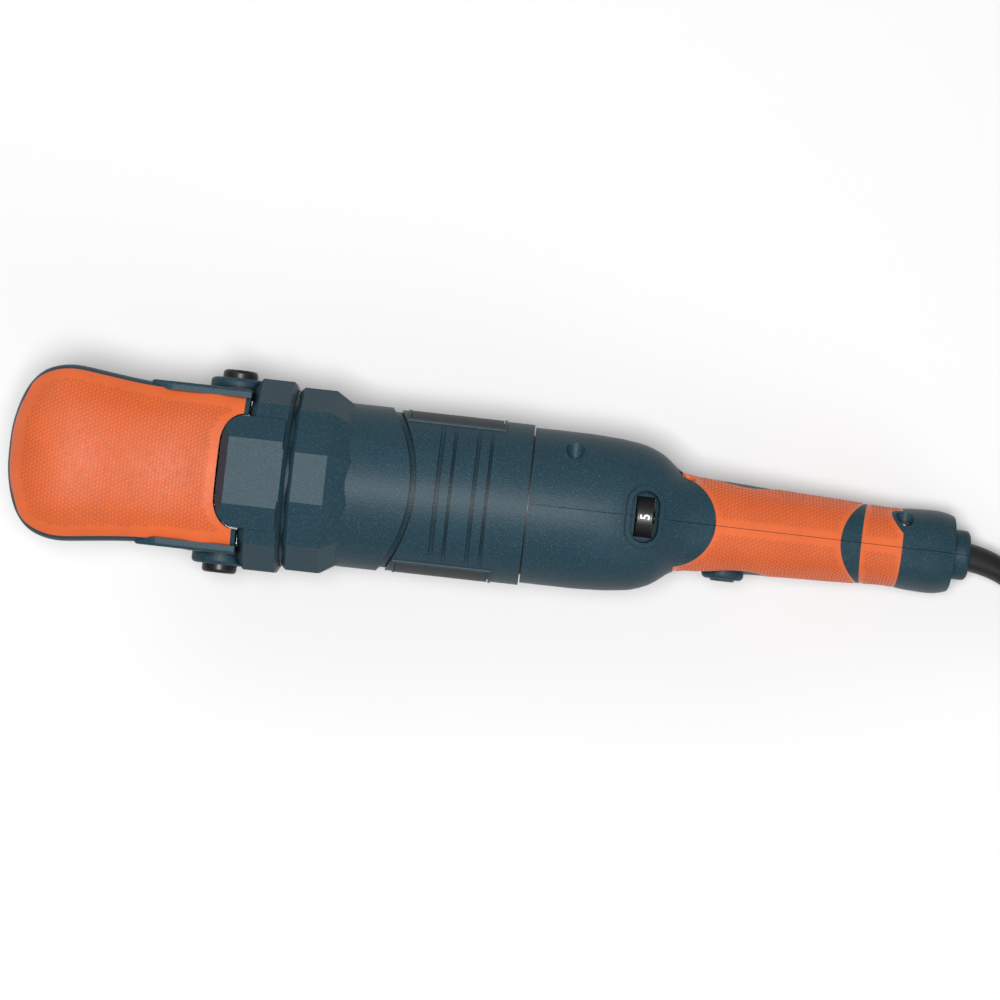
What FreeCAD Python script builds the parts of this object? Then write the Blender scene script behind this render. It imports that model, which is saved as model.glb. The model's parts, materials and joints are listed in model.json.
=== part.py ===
import FreeCAD, Part

# A 180 mm rotary polisher standing on its bare spindle and on the heel of its rear pommel.
# Millimetres. The origin is the middle of the spindle's free end, +X runs towards the cord,
# +Z up. The motor axis is parallel to X at height AXIS_Z.

import math
import os

V = FreeCAD.Vector

# ---- driving dimensions ----
AXIS_Z = 76.0  # motor axis above the resting surface
COUNTER_Z = 56.0  # countershaft axis
FIT = 0.02  # radial clearance of a pressed or clamped fit
RUN = 0.06  # radial clearance of a running fit
GAP = 0.3  # clearance between pieces that only pass each other

# spindle and gear head
THREAD_R = 7.0  # M14
THREAD_LENGTH = 18.0
SHOULDER_R = 11.0
SHOULDER_TOP = 22.5
SPINDLE_BEARING_Z = (27.0, 38.0)
SPINDLE_BEARING_R = (7.5, 17.5)
HEAD_BASE_R = 38.0
HEAD_R = 33.5
HEAD_Z = (36.0, 57.0, 90.0)  # underside, top of the wide base, top of the narrow head
HOUSING_REAR_X = 46.5
PLATE_REAR_X = 50.5

# gears
SPUR_MODULE = 1.0
PINION_TEETH = 8
WHEEL_TEETH = 32
SPUR_SHIFT = 0.5
SPUR_X = (36.0, 46.0)
BEVEL_MODULE = 1.5
BEVEL_TEETH = 12
CROWN_TEETH = 30
BEVEL_FACE = 7.0
LOCK_NOTCHES = 20
PRESSURE_ANGLE = math.radians(20)
TOOTH_THINNING = 0.12

# gear cover
COVER_X = (33.0, 49.5)
COVER_APOTHEM = 45.0
NOSE_X = (18.0, 22.0, 47.0)  # foot of the front, start and end of its top facet
NOSE_HALF = 26.0
NOSE_TOP_HALF = 15.5
COVER_CHIP = 1000.0  # anything smaller is cut free by the handle's arms and left out

# hood handle: place along X, half-width, top, depth, drop of the top at the edges
HOOD = (
    (-80.2, 7.0, 103.0, 3.5, 0.8),
    (-79.6, 13.0, 105.0, 6.5, 1.6),
    (-78.0, 20.2, 107.6, 9.8, 2.8),
    (-75.5, 27.2, 110.4, 12.6, 4.2),
    (-72.0, 33.0, 113.2, 14.8, 5.6),
    (-67.5, 37.2, 115.9, 16.4, 7.0),
    (-61.5, 39.9, 118.2, 17.8, 8.3),
    (-54.0, 41.1, 119.5, 18.5, 9.0),
    (-46.0, 40.6, 119.4, 18.5, 9.0),
    (-36.0, 39.4, 117.8, 18.0, 9.0),
    (-27.0, 38.4, 115.6, 17.0, 9.0),
    (-17.0, 37.6, 113.4, 16.5, 9.0),
    (-8.0, 37.6, 112.0, 16.0, 9.0),
    (0.0, 38.2, 111.6, 15.6, 9.0),
    (15.0, 38.6, 112.8, 16.0, 9.0),
    (30.0, 38.8, 113.8, 16.5, 9.0),
)
HOOD_REAR_X = 28.9
HOOD_SKIN = 2.4
HOOD_RIM = 2.2
HANDLE_SCREW_X = 21.0
HANDLE_SCREW_Z = 75.0
ARM_Y = (34.6, 38.6)
BOSS_R = 13.5
BOSS_Y = 44.0

# motor housing
MOTOR_X = (50.5, 161.8)
FLANGE_END_X = 68.0
FLANGE_APOTHEM = 43.0
BARREL_HALF_WIDTH = 38.0
BARREL_HALF_HEIGHT = 36.0
MOTOR_BORE_R = 33.7
STEP_CENTRE_X = 40.8
STEP_R = 66.2
GROOVES = ((119.7, 2.2), (125.8, 1.6), (136.7, 2.0), (142.9, 1.6))
PANEL_X = (103.4, 147.5)
PANEL_HALF_HEIGHT = 17.0
TIE_SCREW_RADIUS = 36.5

# rear housing: place along X, half-width, top, bottom, roundness
REAR = (
    (162.6, 36.8, 112.0, 40.0, 2.05),
    (169.4, 36.8, 112.0, 40.0, 2.05),
    (176.2, 36.8, 112.0, 40.0, 2.05),
    (183.0, 36.8, 111.9, 40.0, 2.05),
    (190.0, 36.7, 111.7, 40.1, 2.05),
    (196.5, 36.4, 111.2, 40.3, 2.08),
    (203.0, 36.0, 110.5, 40.5, 2.1),
    (209.0, 35.3, 109.3, 41.0, 2.1),
    (215.0, 34.3, 107.4, 41.7, 2.15),
    (220.0, 32.6, 105.4, 42.6, 2.15),
    (224.5, 30.4, 102.9, 43.5, 2.2),
    (228.5, 27.4, 100.3, 44.4, 2.2),
    (232.0, 24.7, 98.1, 45.1, 2.2),
    (236.0, 22.9, 95.8, 45.7, 2.2),
    (242.0, 22.1, 93.3, 45.4, 2.25),
    (254.0, 21.8, 89.6, 42.6, 2.3),
    (275.0, 20.8, 83.5, 36.6, 2.3),
    (304.0, 19.8, 75.1, 28.6, 2.3),
    (326.0, 18.9, 68.7, 22.4, 2.3),
    (338.0, 18.6, 65.2, 18.0, 2.3),
    (345.0, 19.4, 63.6, 9.5, 2.35),
    (351.0, 19.8, 61.8, 2.2, 2.5),
    (357.0, 20.0, 60.2, 0.0, 2.7),
    (362.0, 19.8, 58.6, 0.0, 2.7),
    (367.6, 18.4, 56.4, 0.0, 2.7),
)
WALL = 2.8
GRIP_SKIN = 2.0
HANDLE_WALL = 4.6
GRIP_X = (233.5, 341.5)
TONGUE_X = 229.2
TONGUE_R = 21.8
CRESCENT_X = 333.1
CRESCENT_R = 21.7
CRESCENT_END_X = 322.1
CRESCENT_LEAN = 8.0
CLAMSHELL_SCREWS = ((181.7, 100.0), (181.7, 52.0), (235.7, 80.5), (240.0, 55.0), (342.0, 57.0))
NECK_X = (365.0, 377.0)
NECK_R = 12.0
SEAM_HALF_GAP = 0.12
NECK_Z = 31.0

# handle frame: starts on the handle's middle line and runs back and down along it
HANDLE_ORIGIN = V(262.0, 0, 63.6)
HANDLE_DROOP = 16.2

# dial and button
DIAL_X = (213.0, 221.0)
DIAL_Z = 95.0
DIAL_R = 12.0
BUTTON_X = 258.0
BUTTON_Z = 64.8
BUTTON_R = 6.0

# mains lead
CORD_R = 4.0
GUARD_START = V(368.0, 0, NECK_Z)
GUARD_BENDS = ((29.0, 32.0), (18.0, 10.0))  # length, turn in degrees
GUARD_SIDE = V(0, -0.75, -0.66)
CORD_ROUTE = (
    (409.9, -14.05, 18.65),
    (422.4, -22.5, 11.2),
    (434.6, -30.3, 5.6),
    (448.0, -38.5, 4.0),
)
COIL_CENTRE = (491.9, 4.65)
COIL_TURNS_R = (36.0, 44.0, 52.0, 60.0)
COIL_LAYERS = 3
PLUG_ENTRY = (526.9, -3.35, 40.6)


# ---- plain shapes ----
def box(x, y, z):
    return Part.makeBox(x[1] - x[0], y[1] - y[0], z[1] - z[0], V(x[0], y[0], z[0]))


def rod_x(radius, x, z=AXIS_Z, y=0.0):
    return Part.makeCylinder(radius, x[1] - x[0], V(x[0], y, z), V(1, 0, 0))


def rod_y(radius, y, x, z):
    return Part.makeCylinder(radius, y[1] - y[0], V(x, y[0], z), V(0, 1, 0))


def rod_z(radius, z, x=0.0, y=0.0):
    return Part.makeCylinder(radius, z[1] - z[0], V(x, y, z[0]), V(0, 0, 1))


def ring_x(outer, inner, x, z=AXIS_Z):
    return rod_x(outer, x, z).cut(rod_x(inner, (x[0] - 1, x[1] + 1), z))


def ring_z(outer, inner, z, x=0.0, y=0.0):
    return rod_z(outer, z, x, y).cut(rod_z(inner, (z[0] - 1, z[1] + 1), x, y))


def fuse(first, *others):
    return first.multiFuse(list(others)).removeSplitter()


def cut(first, *others):
    return first.cut(list(others))


def solids_over(shape, least=1.0):
    """The solids of a shape, without the thin chips that its cuts leave behind."""
    return [solid for solid in shape.Solids if solid.Volume > least]


def face_of(points):
    return Part.Face(Part.makePolygon(points + points[:1]))


def prism_x(outline, x):
    """A prism along X from (y, z) points."""
    return face_of([V(x[0], y, z) for y, z in outline]).extrude(V(x[1] - x[0], 0, 0))


def prism_y(outline, y):
    """A prism along Y from (x, z) points."""
    return face_of([V(x, y[0], z) for x, z in outline]).extrude(V(0, y[1] - y[0], 0))


def prism_z(outline, z):
    """A prism along Z from (x, y) points."""
    return face_of([V(x, y, z[0]) for x, y in outline]).extrude(V(0, 0, z[1] - z[0]))


def turned_x(outline, z=AXIS_Z):
    """A solid turned about the line parallel to X at height z, from (x, radius) points."""
    face = face_of([V(x, 0, z + radius) for x, radius in outline])
    return face.revolve(V(0, 0, z), V(1, 0, 0), 360)


def turned_z(outline):
    """A solid turned about the spindle's axis, from (radius, z) points."""
    return face_of([V(radius, 0, z) for radius, z in outline]).revolve(V(0, 0, 0), V(0, 0, 1), 360)


def polar(radius, degrees, centre_z=AXIS_Z):
    """(y, z) at a radius and angle about the motor axis, counted from +Y towards +Z."""
    angle = math.radians(degrees)
    return radius * math.cos(angle), centre_z + radius * math.sin(angle)


def twelve_sided(apothem, x):
    """A twelve-sided prism with a flat on top."""
    corner = apothem / math.cos(math.radians(15))
    return prism_x([polar(corner, 15 + 30 * i) for i in range(12)], x)


def twelve_sided_cone(apothems, x):
    wires = []
    for apothem, place in zip(apothems, x):
        corner = apothem / math.cos(math.radians(15))
        points = [V(place, *polar(corner, 15 + 30 * i)) for i in range(12)]
        wires.append(Part.makePolygon(points + points[:1]))
    return Part.makeLoft(wires, True, True)


def oval_x(half_width, half_height, x):
    """An elliptical prism along the motor axis, wider in Y than in Z."""
    ellipse = Part.Ellipse(
        V(x[0], half_width, AXIS_Z), V(x[0], 0, AXIS_Z + half_height), V(x[0], 0, AXIS_Z)
    )
    return Part.Face(Part.Wire(ellipse.toShape())).extrude(V(x[1] - x[0], 0, 0))


def stadium_z(centre, half_x, half_y, z):
    """An upright prism with round ends, longer in Y than in X."""
    straight = half_y - half_x
    x, y = centre
    return fuse(
        box((x - half_x, x + half_x), (y - straight, y + straight), z),
        rod_z(half_x, z, x, y - straight),
        rod_z(half_x, z, x, y + straight),
    )


def superellipse(x, half_width, top, bottom, power, bow=0.0, count=24):
    """A closed smooth outline across the tool, its ends lowered by bow."""
    points = []
    for i in range(count):
        angle = 2 * math.pi * i / count
        c, s = math.cos(angle), math.sin(angle)
        across = math.copysign(abs(c) ** (2 / power), c)
        up = math.copysign(abs(s) ** (2 / power), s)
        height = (top + bottom) / 2 + (top - bottom) / 2 * up
        points.append(V(x, half_width * across, height - bow * across * across))
    curve = Part.BSplineCurve()
    knots = [i / count for i in range(count + 1)]
    curve.interpolate(Points=points, PeriodicFlag=True, Parameters=knots)
    return Part.Wire(curve.toShape())


def handle_frame(shape):
    """Places a shape modelled about the handle's own axes: X along it, Z square to it."""
    shape.rotate(V(0, 0, 0), V(0, 1, 0), HANDLE_DROOP)
    shape.translate(HANDLE_ORIGIN)
    return shape


def mirrored_y(shape):
    return shape.mirror(V(0, 0, 0), V(0, 1, 0))


def coil_spring(mean_r, wire_r, turns, length):
    """A helical spring along Z from the origin."""
    pitch = length / turns
    path = Part.Wire(Part.makeHelix(pitch, length, mean_r).Edges)
    ring = Part.Wire(Part.makeCircle(wire_r, V(mean_r, 0, 0), V(0, 1, 0)))
    return path.makePipeShell([ring], True, True)


def screw(radius, head_r, head_length, length):
    """A pan-head screw along Z, its head above the origin and its shank below."""
    head = Part.makeCylinder(head_r, head_length)
    head = head.makeFillet(head_length * 0.4, [head.Edges[0]])
    slot = box((-head_r * 0.55, head_r * 0.55), (-0.5, 0.5), (head_length * 0.55, head_length + 1))
    cross = slot.copy()
    cross.rotate(V(0, 0, 0), V(0, 0, 1), 90)
    shank = Part.makeCylinder(radius, length, V(0, 0, -length))
    return cut(fuse(head, shank), slot, cross)


def placed(shape, point, towards):
    """Turns a shape's +Z towards a direction and moves its origin to a point."""
    shape.Placement = FreeCAD.Placement(V(*point), FreeCAD.Rotation(V(0, 0, 1), V(*towards)))
    return shape


# ---- gears ----
def involute_flank(base_r, pitch_r, half_tooth, radii):
    """(radius, angle from the tooth's middle) along one flank."""

    def roll(radius):
        angle = math.acos(min(1.0, base_r / radius))
        return math.tan(angle) - angle

    flank = []
    for radius in radii:
        angle = half_tooth / pitch_r + roll(pitch_r)
        flank.append((radius, angle - roll(max(radius, base_r))))
    return flank


def gear_profile(pitch_r, module, shift, tip_cut=0.0):
    """One tooth as (radius, angle) points from its left root to its right root."""
    base_r = pitch_r * math.cos(PRESSURE_ANGLE)
    half_tooth = module * (math.pi / 4 + shift * math.tan(PRESSURE_ANGLE)) - TOOTH_THINNING / 2
    tip_r = pitch_r + module * (1 + shift) - tip_cut
    root_r = pitch_r + module * (shift - 1.25)
    start_r = max(base_r, root_r)
    steps = 6
    radii = [start_r + (tip_r - start_r) * i / steps for i in range(steps + 1)]
    if root_r < base_r:
        radii = [root_r] + radii
    flank = involute_flank(base_r, pitch_r, half_tooth, radii)
    return [(r, -a) for r, a in flank] + [(r, a) for r, a in reversed(flank)]


def spur_gear(teeth, shift, x, centre_z, first_tooth, tip_cut=0.0):
    """A spur gear on an axis along X, with a tooth at first_tooth degrees from +Y."""
    pitch_r = SPUR_MODULE * teeth / 2
    outline = []
    for i in range(teeth):
        middle = math.radians(first_tooth) + 2 * math.pi * i / teeth
        for radius, angle in gear_profile(pitch_r, SPUR_MODULE, shift, tip_cut):
            outline.append(
                (radius * math.cos(middle + angle), centre_z + radius * math.sin(middle + angle))
            )
    return prism_x(outline, x)


def bevel_blank(teeth, mate_teeth, near, far, first_tooth):
    """A toothed cone along +Z with its apex at the origin, between two distances from it."""
    pitch_r = BEVEL_MODULE * teeth / 2
    cone = math.atan2(teeth, mate_teeth)
    back_r = pitch_r / math.cos(cone)
    wires = []
    for height in (near, far):
        points = []
        for i in range(teeth):
            middle = math.radians(first_tooth) + 2 * math.pi * i / teeth
            for rho, angle in gear_profile(back_r, BEVEL_MODULE, 0.0):
                to_apex = pitch_r / math.tan(cone) - (rho - back_r) * math.sin(cone)
                radius = rho * math.cos(cone) * height / to_apex
                turn = middle + angle / math.cos(cone)
                points.append(V(radius * math.cos(turn), radius * math.sin(turn), height))
        wires.append(Part.makePolygon(points + points[:1]))
    return Part.makeLoft(wires, True, True)


def bevel_pinion():
    """The small bevel gear, on the countershaft, with its hub."""
    cone = math.atan2(BEVEL_TEETH, CROWN_TEETH)
    cone_distance = BEVEL_MODULE * math.hypot(BEVEL_TEETH, CROWN_TEETH) / 2
    near = (cone_distance - BEVEL_FACE) * math.cos(cone)
    far = cone_distance * math.cos(cone)
    teeth = bevel_blank(BEVEL_TEETH, CROWN_TEETH, near, far, 90.0)
    gear = fuse(teeth, rod_z(7.0, (far, far + 1.3)))
    gear = gear.cut(rod_z(3.5, (near - 1, far + 3)))
    gear.rotate(V(0, 0, 0), V(0, 1, 0), 90)
    gear.rotate(V(0, 0, 0), V(1, 0, 0), 180)
    gear.translate(V(0, 0, COUNTER_Z))
    return gear


def crown_gear():
    """The large bevel gear, on the spindle, with a notched rim for the spindle lock."""
    half_pitch = 180.0 / CROWN_TEETH
    teeth = bevel_blank(CROWN_TEETH, BEVEL_TEETH, 5.3, 13.0, half_pitch)
    teeth.rotate(V(0, 0, 0), V(1, 0, 0), 180)
    teeth.translate(V(0, 0, COUNTER_Z))
    toothed = teeth.common(ring_z(23.0, 15.4, (43.0, 52.0)))
    body = turned_z([(8.0, 38.6), (23.4, 38.6), (23.4, 44.4), (16.0, 44.4), (13.0, 46.5), (8.0, 46.5)])
    notches = []
    for i in range(LOCK_NOTCHES):
        notch = box((19.8, 24.0), (-2.0, 2.0), (38.0, 43.6))
        notch.rotate(V(0, 0, 0), V(0, 0, 1), 360.0 * i / LOCK_NOTCHES)
        notches.append(notch)
    return cut(fuse(toothed, body), *notches)


# ---- spindle group ----
def spindle():
    return turned_z(
        [
            (0, 0),
            (THREAD_R, 0),
            (THREAD_R, THREAD_LENGTH),
            (SHOULDER_R, THREAD_LENGTH),
            (SHOULDER_R, SHOULDER_TOP),
            (9.0, SHOULDER_TOP),
            (9.0, SPINDLE_BEARING_Z[0]),
            (SPINDLE_BEARING_R[0], SPINDLE_BEARING_Z[0]),
            (SPINDLE_BEARING_R[0], SPINDLE_BEARING_Z[1]),
            (8.0 - FIT, 38.6),
            (8.0 - FIT, 46.5),
            (6.0, 47.5),
            (6.0, 87.4),
            (5.4, 88.0),
            (0, 88.0),
        ]
    )


def spindle_body():
    flats = [box((-12, 12), (8.5, 12), (18.0, 22.5)), box((-12, 12), (-12, -8.5), (18.0, 22.5))]
    return cut(spindle(), *flats)


# ---- bearings: an outer ring, an inner ring and the gap between them ----
def bearing_outer_x(inner_r, outer_r, x, z):
    middle = (inner_r + outer_r) / 2
    thickness = (outer_r - inner_r) * 0.24
    ring = ring_x(outer_r, outer_r - thickness, x, z)
    shields = ring_x(outer_r - thickness / 2, middle - thickness * 0.7, (x[0] + 0.3, x[0] + 0.8), z)
    back = ring_x(outer_r - thickness / 2, middle - thickness * 0.7, (x[1] - 0.8, x[1] - 0.3), z)
    return fuse(ring, shields, back)


def bearing_inner_x(inner_r, outer_r, x, z):
    thickness = (outer_r - inner_r) * 0.24
    return ring_x(inner_r + thickness, inner_r + FIT, x, z)


def upright(shape):
    """Turns a shape made about the motor axis onto the spindle's axis, X becoming Z."""
    shape.translate(V(0, 0, -AXIS_Z))
    shape.rotate(V(0, 0, 0), V(0, 1, 0), -90)
    return shape


# ---- gear head ----
def gear_housing():
    base = rod_z(HEAD_BASE_R, HEAD_Z[:2])
    base = base.makeFillet(3.0, [e for e in base.Edges if abs(e.BoundBox.ZMin - HEAD_Z[1]) < 0.01][:1])
    head = rod_z(HEAD_R, (HEAD_Z[0], HEAD_Z[2]))
    head = head.makeFillet(6.0, [e for e in head.Edges if abs(e.BoundBox.ZMin - HEAD_Z[2]) < 0.01][:1])
    neck = box((0, 36), (-HEAD_R, HEAD_R), (40, 92))
    pads = rod_y(BOSS_R - 1.0, (-34.3, 34.3), HANDLE_SCREW_X, HANDLE_SCREW_Z)
    flange = rod_x(41.4, (36.0, HOUSING_REAR_X))
    lock_boss = rod_x(8.5, (-39.5, -30.0), 42.0)
    lock_boss = lock_boss.common(box((-40, 0), (-10, 10), (36.0, 60)))
    body = fuse(base, head, neck, pads, flange, lock_boss)
    crown_room = rod_z(25.5, (HEAD_Z[0] - 1, 53.0))
    upper_room = rod_z(22.0, (52.0, 79.0))
    bush_seat = rod_z(9.0, (78.0, 88.6))
    bearing_seat = rod_x(14.0 + FIT, (20.0, 33.0), COUNTER_Z)
    pinion_room = rod_x(11.5, (10.0, 25.0), COUNTER_Z)
    wheel_room = rod_x(17.6, (34.0, HOUSING_REAR_X + 1), COUNTER_Z)
    pinion_gap = rod_x(7.5, (34.0, HOUSING_REAR_X + 1))
    shaft_way = rod_x(7.5, (32.0, 35.0), COUNTER_Z)
    lock_way = rod_x(3.5 + RUN, (-45.0, -20.0), 42.0)
    lock_spring_room = rod_x(5.9, (-40.0, -32.0), 42.0)
    threads = [
        rod_y(4.0, (26.0, 35.0), HANDLE_SCREW_X, HANDLE_SCREW_Z),
        rod_y(4.0, (-35.0, -26.0), HANDLE_SCREW_X, HANDLE_SCREW_Z),
    ]
    holes = [rod_x(2.25, (30.0, 48.0), z, y) for y, z in tie_screw_places()]
    return cut(
        body,
        crown_room,
        upper_room,
        bush_seat,
        bearing_seat,
        pinion_room,
        wheel_room,
        pinion_gap,
        shaft_way,
        lock_way,
        lock_spring_room,
        *threads,
        *holes,
        *[rod_x(4.3, (20.0, 36.0), z, y) for y, z in tie_screw_places()],
        *[rod_z(1.9, (34.0, 47.0), x, y) for x, y in retainer_screw_places()],
    )


def tie_screw_places():
    return [polar(TIE_SCREW_RADIUS, 45 + 90 * i) for i in range(4)]


def retainer_screw_places():
    turn = [math.radians(45 + 90 * i) for i in range(4)]
    return [(29.5 * math.cos(a), 29.5 * math.sin(a)) for a in turn]


def bearing_retainer():
    """The round cover under the gear head that holds the spindle bearing."""
    body = turned_z(
        [(11.6, 23.0), (26.0, 23.0), (28.0, 25.0), (28.0, 29.0), (34.0, 29.0), (35.0, 30.0),
         (35.0, 36.0), (25.3, 36.0), (25.3, 38.2), (11.6, 38.2)]
    )
    seat = rod_z(SPINDLE_BEARING_R[1] + FIT, (27.0, 39.0))
    lip_room = rod_z(11.6, (22.0, 28.0))
    holes = [rod_z(2.1, (22.0, 37.0), x, y) for x, y in retainer_screw_places()]
    sinks = [rod_z(4.0, (22.0, 31.0), x, y) for x, y in retainer_screw_places()]
    return cut(body, seat, lip_room, *holes, *sinks)


def retainer_screws():
    return [
        placed(screw(1.88, 3.6, 2.6, 14.0), (x, y, 31.0), (0, 0, -1))
        for x, y in retainer_screw_places()
    ]


def gearbox_plate():
    disc = rod_x(40.5, (HOUSING_REAR_X, PLATE_REAR_X))
    bearing_boss = rod_x(18.5, (HOUSING_REAR_X, 64.0))
    bush_boss = rod_x(9.5, (HOUSING_REAR_X, 54.5), COUNTER_Z)
    body = fuse(disc, bearing_boss, bush_boss)
    return cut(
        body,
        rod_x(15.0 + FIT, (54.0, 65.0)),
        rod_x(6.4, (45.0, 55.0)),
        rod_x(7.0 + FIT, (45.0, 53.2), COUNTER_Z),
        *[rod_x(2.25, (45.0, 52.0), z, y) for y, z in tie_screw_places()],
    )


def tie_screws():
    return [
        placed(screw(2.2, 4.0, 3.0, 26.0), (36.0, y, z), (-1, 0, 0)) for y, z in tie_screw_places()
    ]


# ---- gear cover ----
def nose_outline(margin, rear):
    """The nose seen from above, from its straight front round to its sides."""
    half = NOSE_HALF + margin
    points = [(rear, -half), (27.5, -half)]
    corner = V(27.5, 0, 0)
    for i in range(1, 8):
        angle = math.radians(90 * i / 8)
        across = 12.5 + (half - 12.5) * math.cos(angle)
        points.append((corner.x - (27.5 - NOSE_X[0] + margin) * math.sin(angle), -across))
    points.append((NOSE_X[0] - margin, -11.0))
    return points + [(x, -y) for x, y in reversed(points)]


def gear_cover():
    chamfer = twelve_sided_cone((COVER_APOTHEM - 5.0, COVER_APOTHEM), (COVER_X[0] - 3.4, COVER_X[0]))
    taper_x = COVER_X[1] - 1.9
    front = twelve_sided(COVER_APOTHEM, (COVER_X[0], taper_x))
    tail = twelve_sided_cone((COVER_APOTHEM, COVER_APOTHEM - 3.3), (taper_x, COVER_X[1]))
    nose = prism_z(nose_outline(0.0, NOSE_X[2]), (91.0, 125.0))
    top = AXIS_Z + COVER_APOTHEM
    across = [(-NOSE_HALF - 2, 112.5), (-NOSE_TOP_HALF, top), (NOSE_TOP_HALF, top),
              (NOSE_HALF + 2, 112.5), (NOSE_HALF + 2, 90), (-NOSE_HALF - 2, 90)]
    nose = nose.common(prism_x(across, (10, 50)))
    along = [(16, 90), (16, 109.5), (17.2, 112.3), (NOSE_X[1], top), (NOSE_X[2], top),
             (COVER_X[1], top - 3.3), (COVER_X[1], 90)]
    nose = nose.common(prism_y(along, (-40, 40)))
    body = fuse(front, tail, chamfer, nose)
    inside = fuse(
        rod_x(41.4 + GAP, (36.0 - GAP, 60.0)),
        box((-5, 36.2), (-HEAD_R - GAP, HEAD_R + GAP), (39.7, 92.3)),
        rod_z(HEAD_R + GAP, (30, 91.0)),
        rod_z(HEAD_BASE_R + GAP, (20, HEAD_Z[1] + GAP)),
        box((21.0, 38.0), (-22.5, 22.5), (90.0, 111.0)),
        box((23.5, 45.0), (-13.0, 13.0), (90.0, 117.5)),
    )
    below = fuse(box((20, 33.1), (-60, 60), (20, 58.0)), rod_z(35.4, (20, 37)))
    arms = [
        rod_y(BOSS_R + 0.6, (y[0], y[1]), HANDLE_SCREW_X, HANDLE_SCREW_Z)
        for y in ((33.0, 60.0), (-60.0, -33.0))
    ]
    heads = [rod_x(4.4, (30.0, 37.0), z, y) for y, z in tie_screw_places()]
    cover = cut(body, inside, below, *arms, *heads)
    return solids_over(cover, COVER_CHIP)


# ---- hood handle ----
def hood_body():
    sections = []
    for x, half, top, depth, bow in HOOD:
        sections.append(superellipse(x, half, top, top - depth, 3.6, bow))
    return Part.makeLoft(sections, True, False)


def hood_top_layer(body):
    """The skin's part of the hood: its top, inside a narrow rim of the core."""
    lowered = body.copy()
    lowered.translate(V(0, 0, -HOOD_SKIN))
    layer = body.cut(lowered)
    outline = [(row[0], row[1] - HOOD_RIM) for row in HOOD if row[0] > -73]
    outline = [(-79.1, 6.0), (-78.4, 12.0), (-76.8, 18.9), (-74.2, 25.7)] + outline
    outline[-1] = (HOOD_REAR_X - HOOD_RIM, outline[-1][1])
    points = [V(x, y, 90) for x, y in outline]
    left = Part.BSplineCurve()
    left.interpolate(points)
    right = Part.BSplineCurve()
    right.interpolate([V(p.x, -p.y, 90) for p in points])
    edges = [
        left.toShape(),
        Part.LineSegment(points[-1], V(points[-1].x, -points[-1].y, 90)).toShape(),
        right.toShape(),
        Part.LineSegment(V(points[0].x, -points[0].y, 90), points[0]).toShape(),
    ]
    plan = Part.Face(Part.Wire(Part.__sortEdges__(edges))).extrude(V(0, 0, 40))
    return layer.common(plan)


def arm(side):
    outline = [(-18, 100), (-8, 103), (29, 104), (30, 88), (34.2, 80), (34.2, 70), (28, 62.6),
               (14, 62.6), (7.6, 70), (3, 79), (-7, 88), (-18, 94.5)]
    plate = prism_y(outline, ARM_Y)
    plate = plate.makeFillet(1.6, [e for e in plate.Edges if e.BoundBox.YMin > ARM_Y[1] - 0.01])
    boss = rod_y(BOSS_R, (ARM_Y[0], BOSS_Y), HANDLE_SCREW_X, HANDLE_SCREW_Z)
    boss = boss.makeFillet(2.0, [e for e in boss.Edges if e.BoundBox.YMin > BOSS_Y - 0.01])
    both = fuse(plate, boss)
    return both if side > 0 else mirrored_y(both)


def hood():
    """The core and the skin of the hood handle."""
    body = hood_body()
    skin = hood_top_layer(body)
    nose_room = prism_z(nose_outline(1.0, 40.0), (80.0, 130.0))
    behind = box((HOOD_REAR_X, 60), (-60, 60), (80, 130))
    skin = cut(skin, nose_room, behind)
    core = cut(body, skin, nose_room, behind)
    core = fuse(core, arm(1), arm(-1))
    cover_room = [
        twelve_sided(COVER_APOTHEM + GAP, (33.0, 60)),
        twelve_sided_cone((COVER_APOTHEM - 5.0 + GAP, COVER_APOTHEM + GAP), (29.2, 33.01)),
    ]
    inner = box((-40, 60), (-ARM_Y[0] + 0.02, ARM_Y[0] - 0.02), (20, 95.0))
    cover_room = fuse(*cover_room).cut(rod_y(BOSS_R + 0.05, (-60, 60), HANDLE_SCREW_X, HANDLE_SCREW_Z))
    hole = rod_y(4.2, (-60, 60), HANDLE_SCREW_X, HANDLE_SCREW_Z)
    core = cut(core, cover_room, inner, hole, skin)
    return core, skin


def handle_screws():
    screws = []
    for side in (1, -1):
        head = Part.makeCylinder(8.25, 4.0)
        head = head.makeFillet(1.8, [e for e in head.Edges if e.BoundBox.ZMin > 3.99])
        corners = [math.radians(60 * i) for i in range(6)]
        socket = prism_z([(3.1 * math.cos(a), 3.1 * math.sin(a)) for a in corners], (1.2, 6.0))
        shank = Part.makeCylinder(3.98, 17.0, V(0, 0, -17.0))
        body = fuse(head, shank).cut(socket)
        seat = (HANDLE_SCREW_X, side * (BOSS_Y + 0.02), HANDLE_SCREW_Z)
        screws.append(placed(body, seat, (0, side, 0)))
    return screws


# ---- motor ----
def step_column(radius):
    return rod_z(radius, (20, 130), STEP_CENTRE_X)


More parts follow.
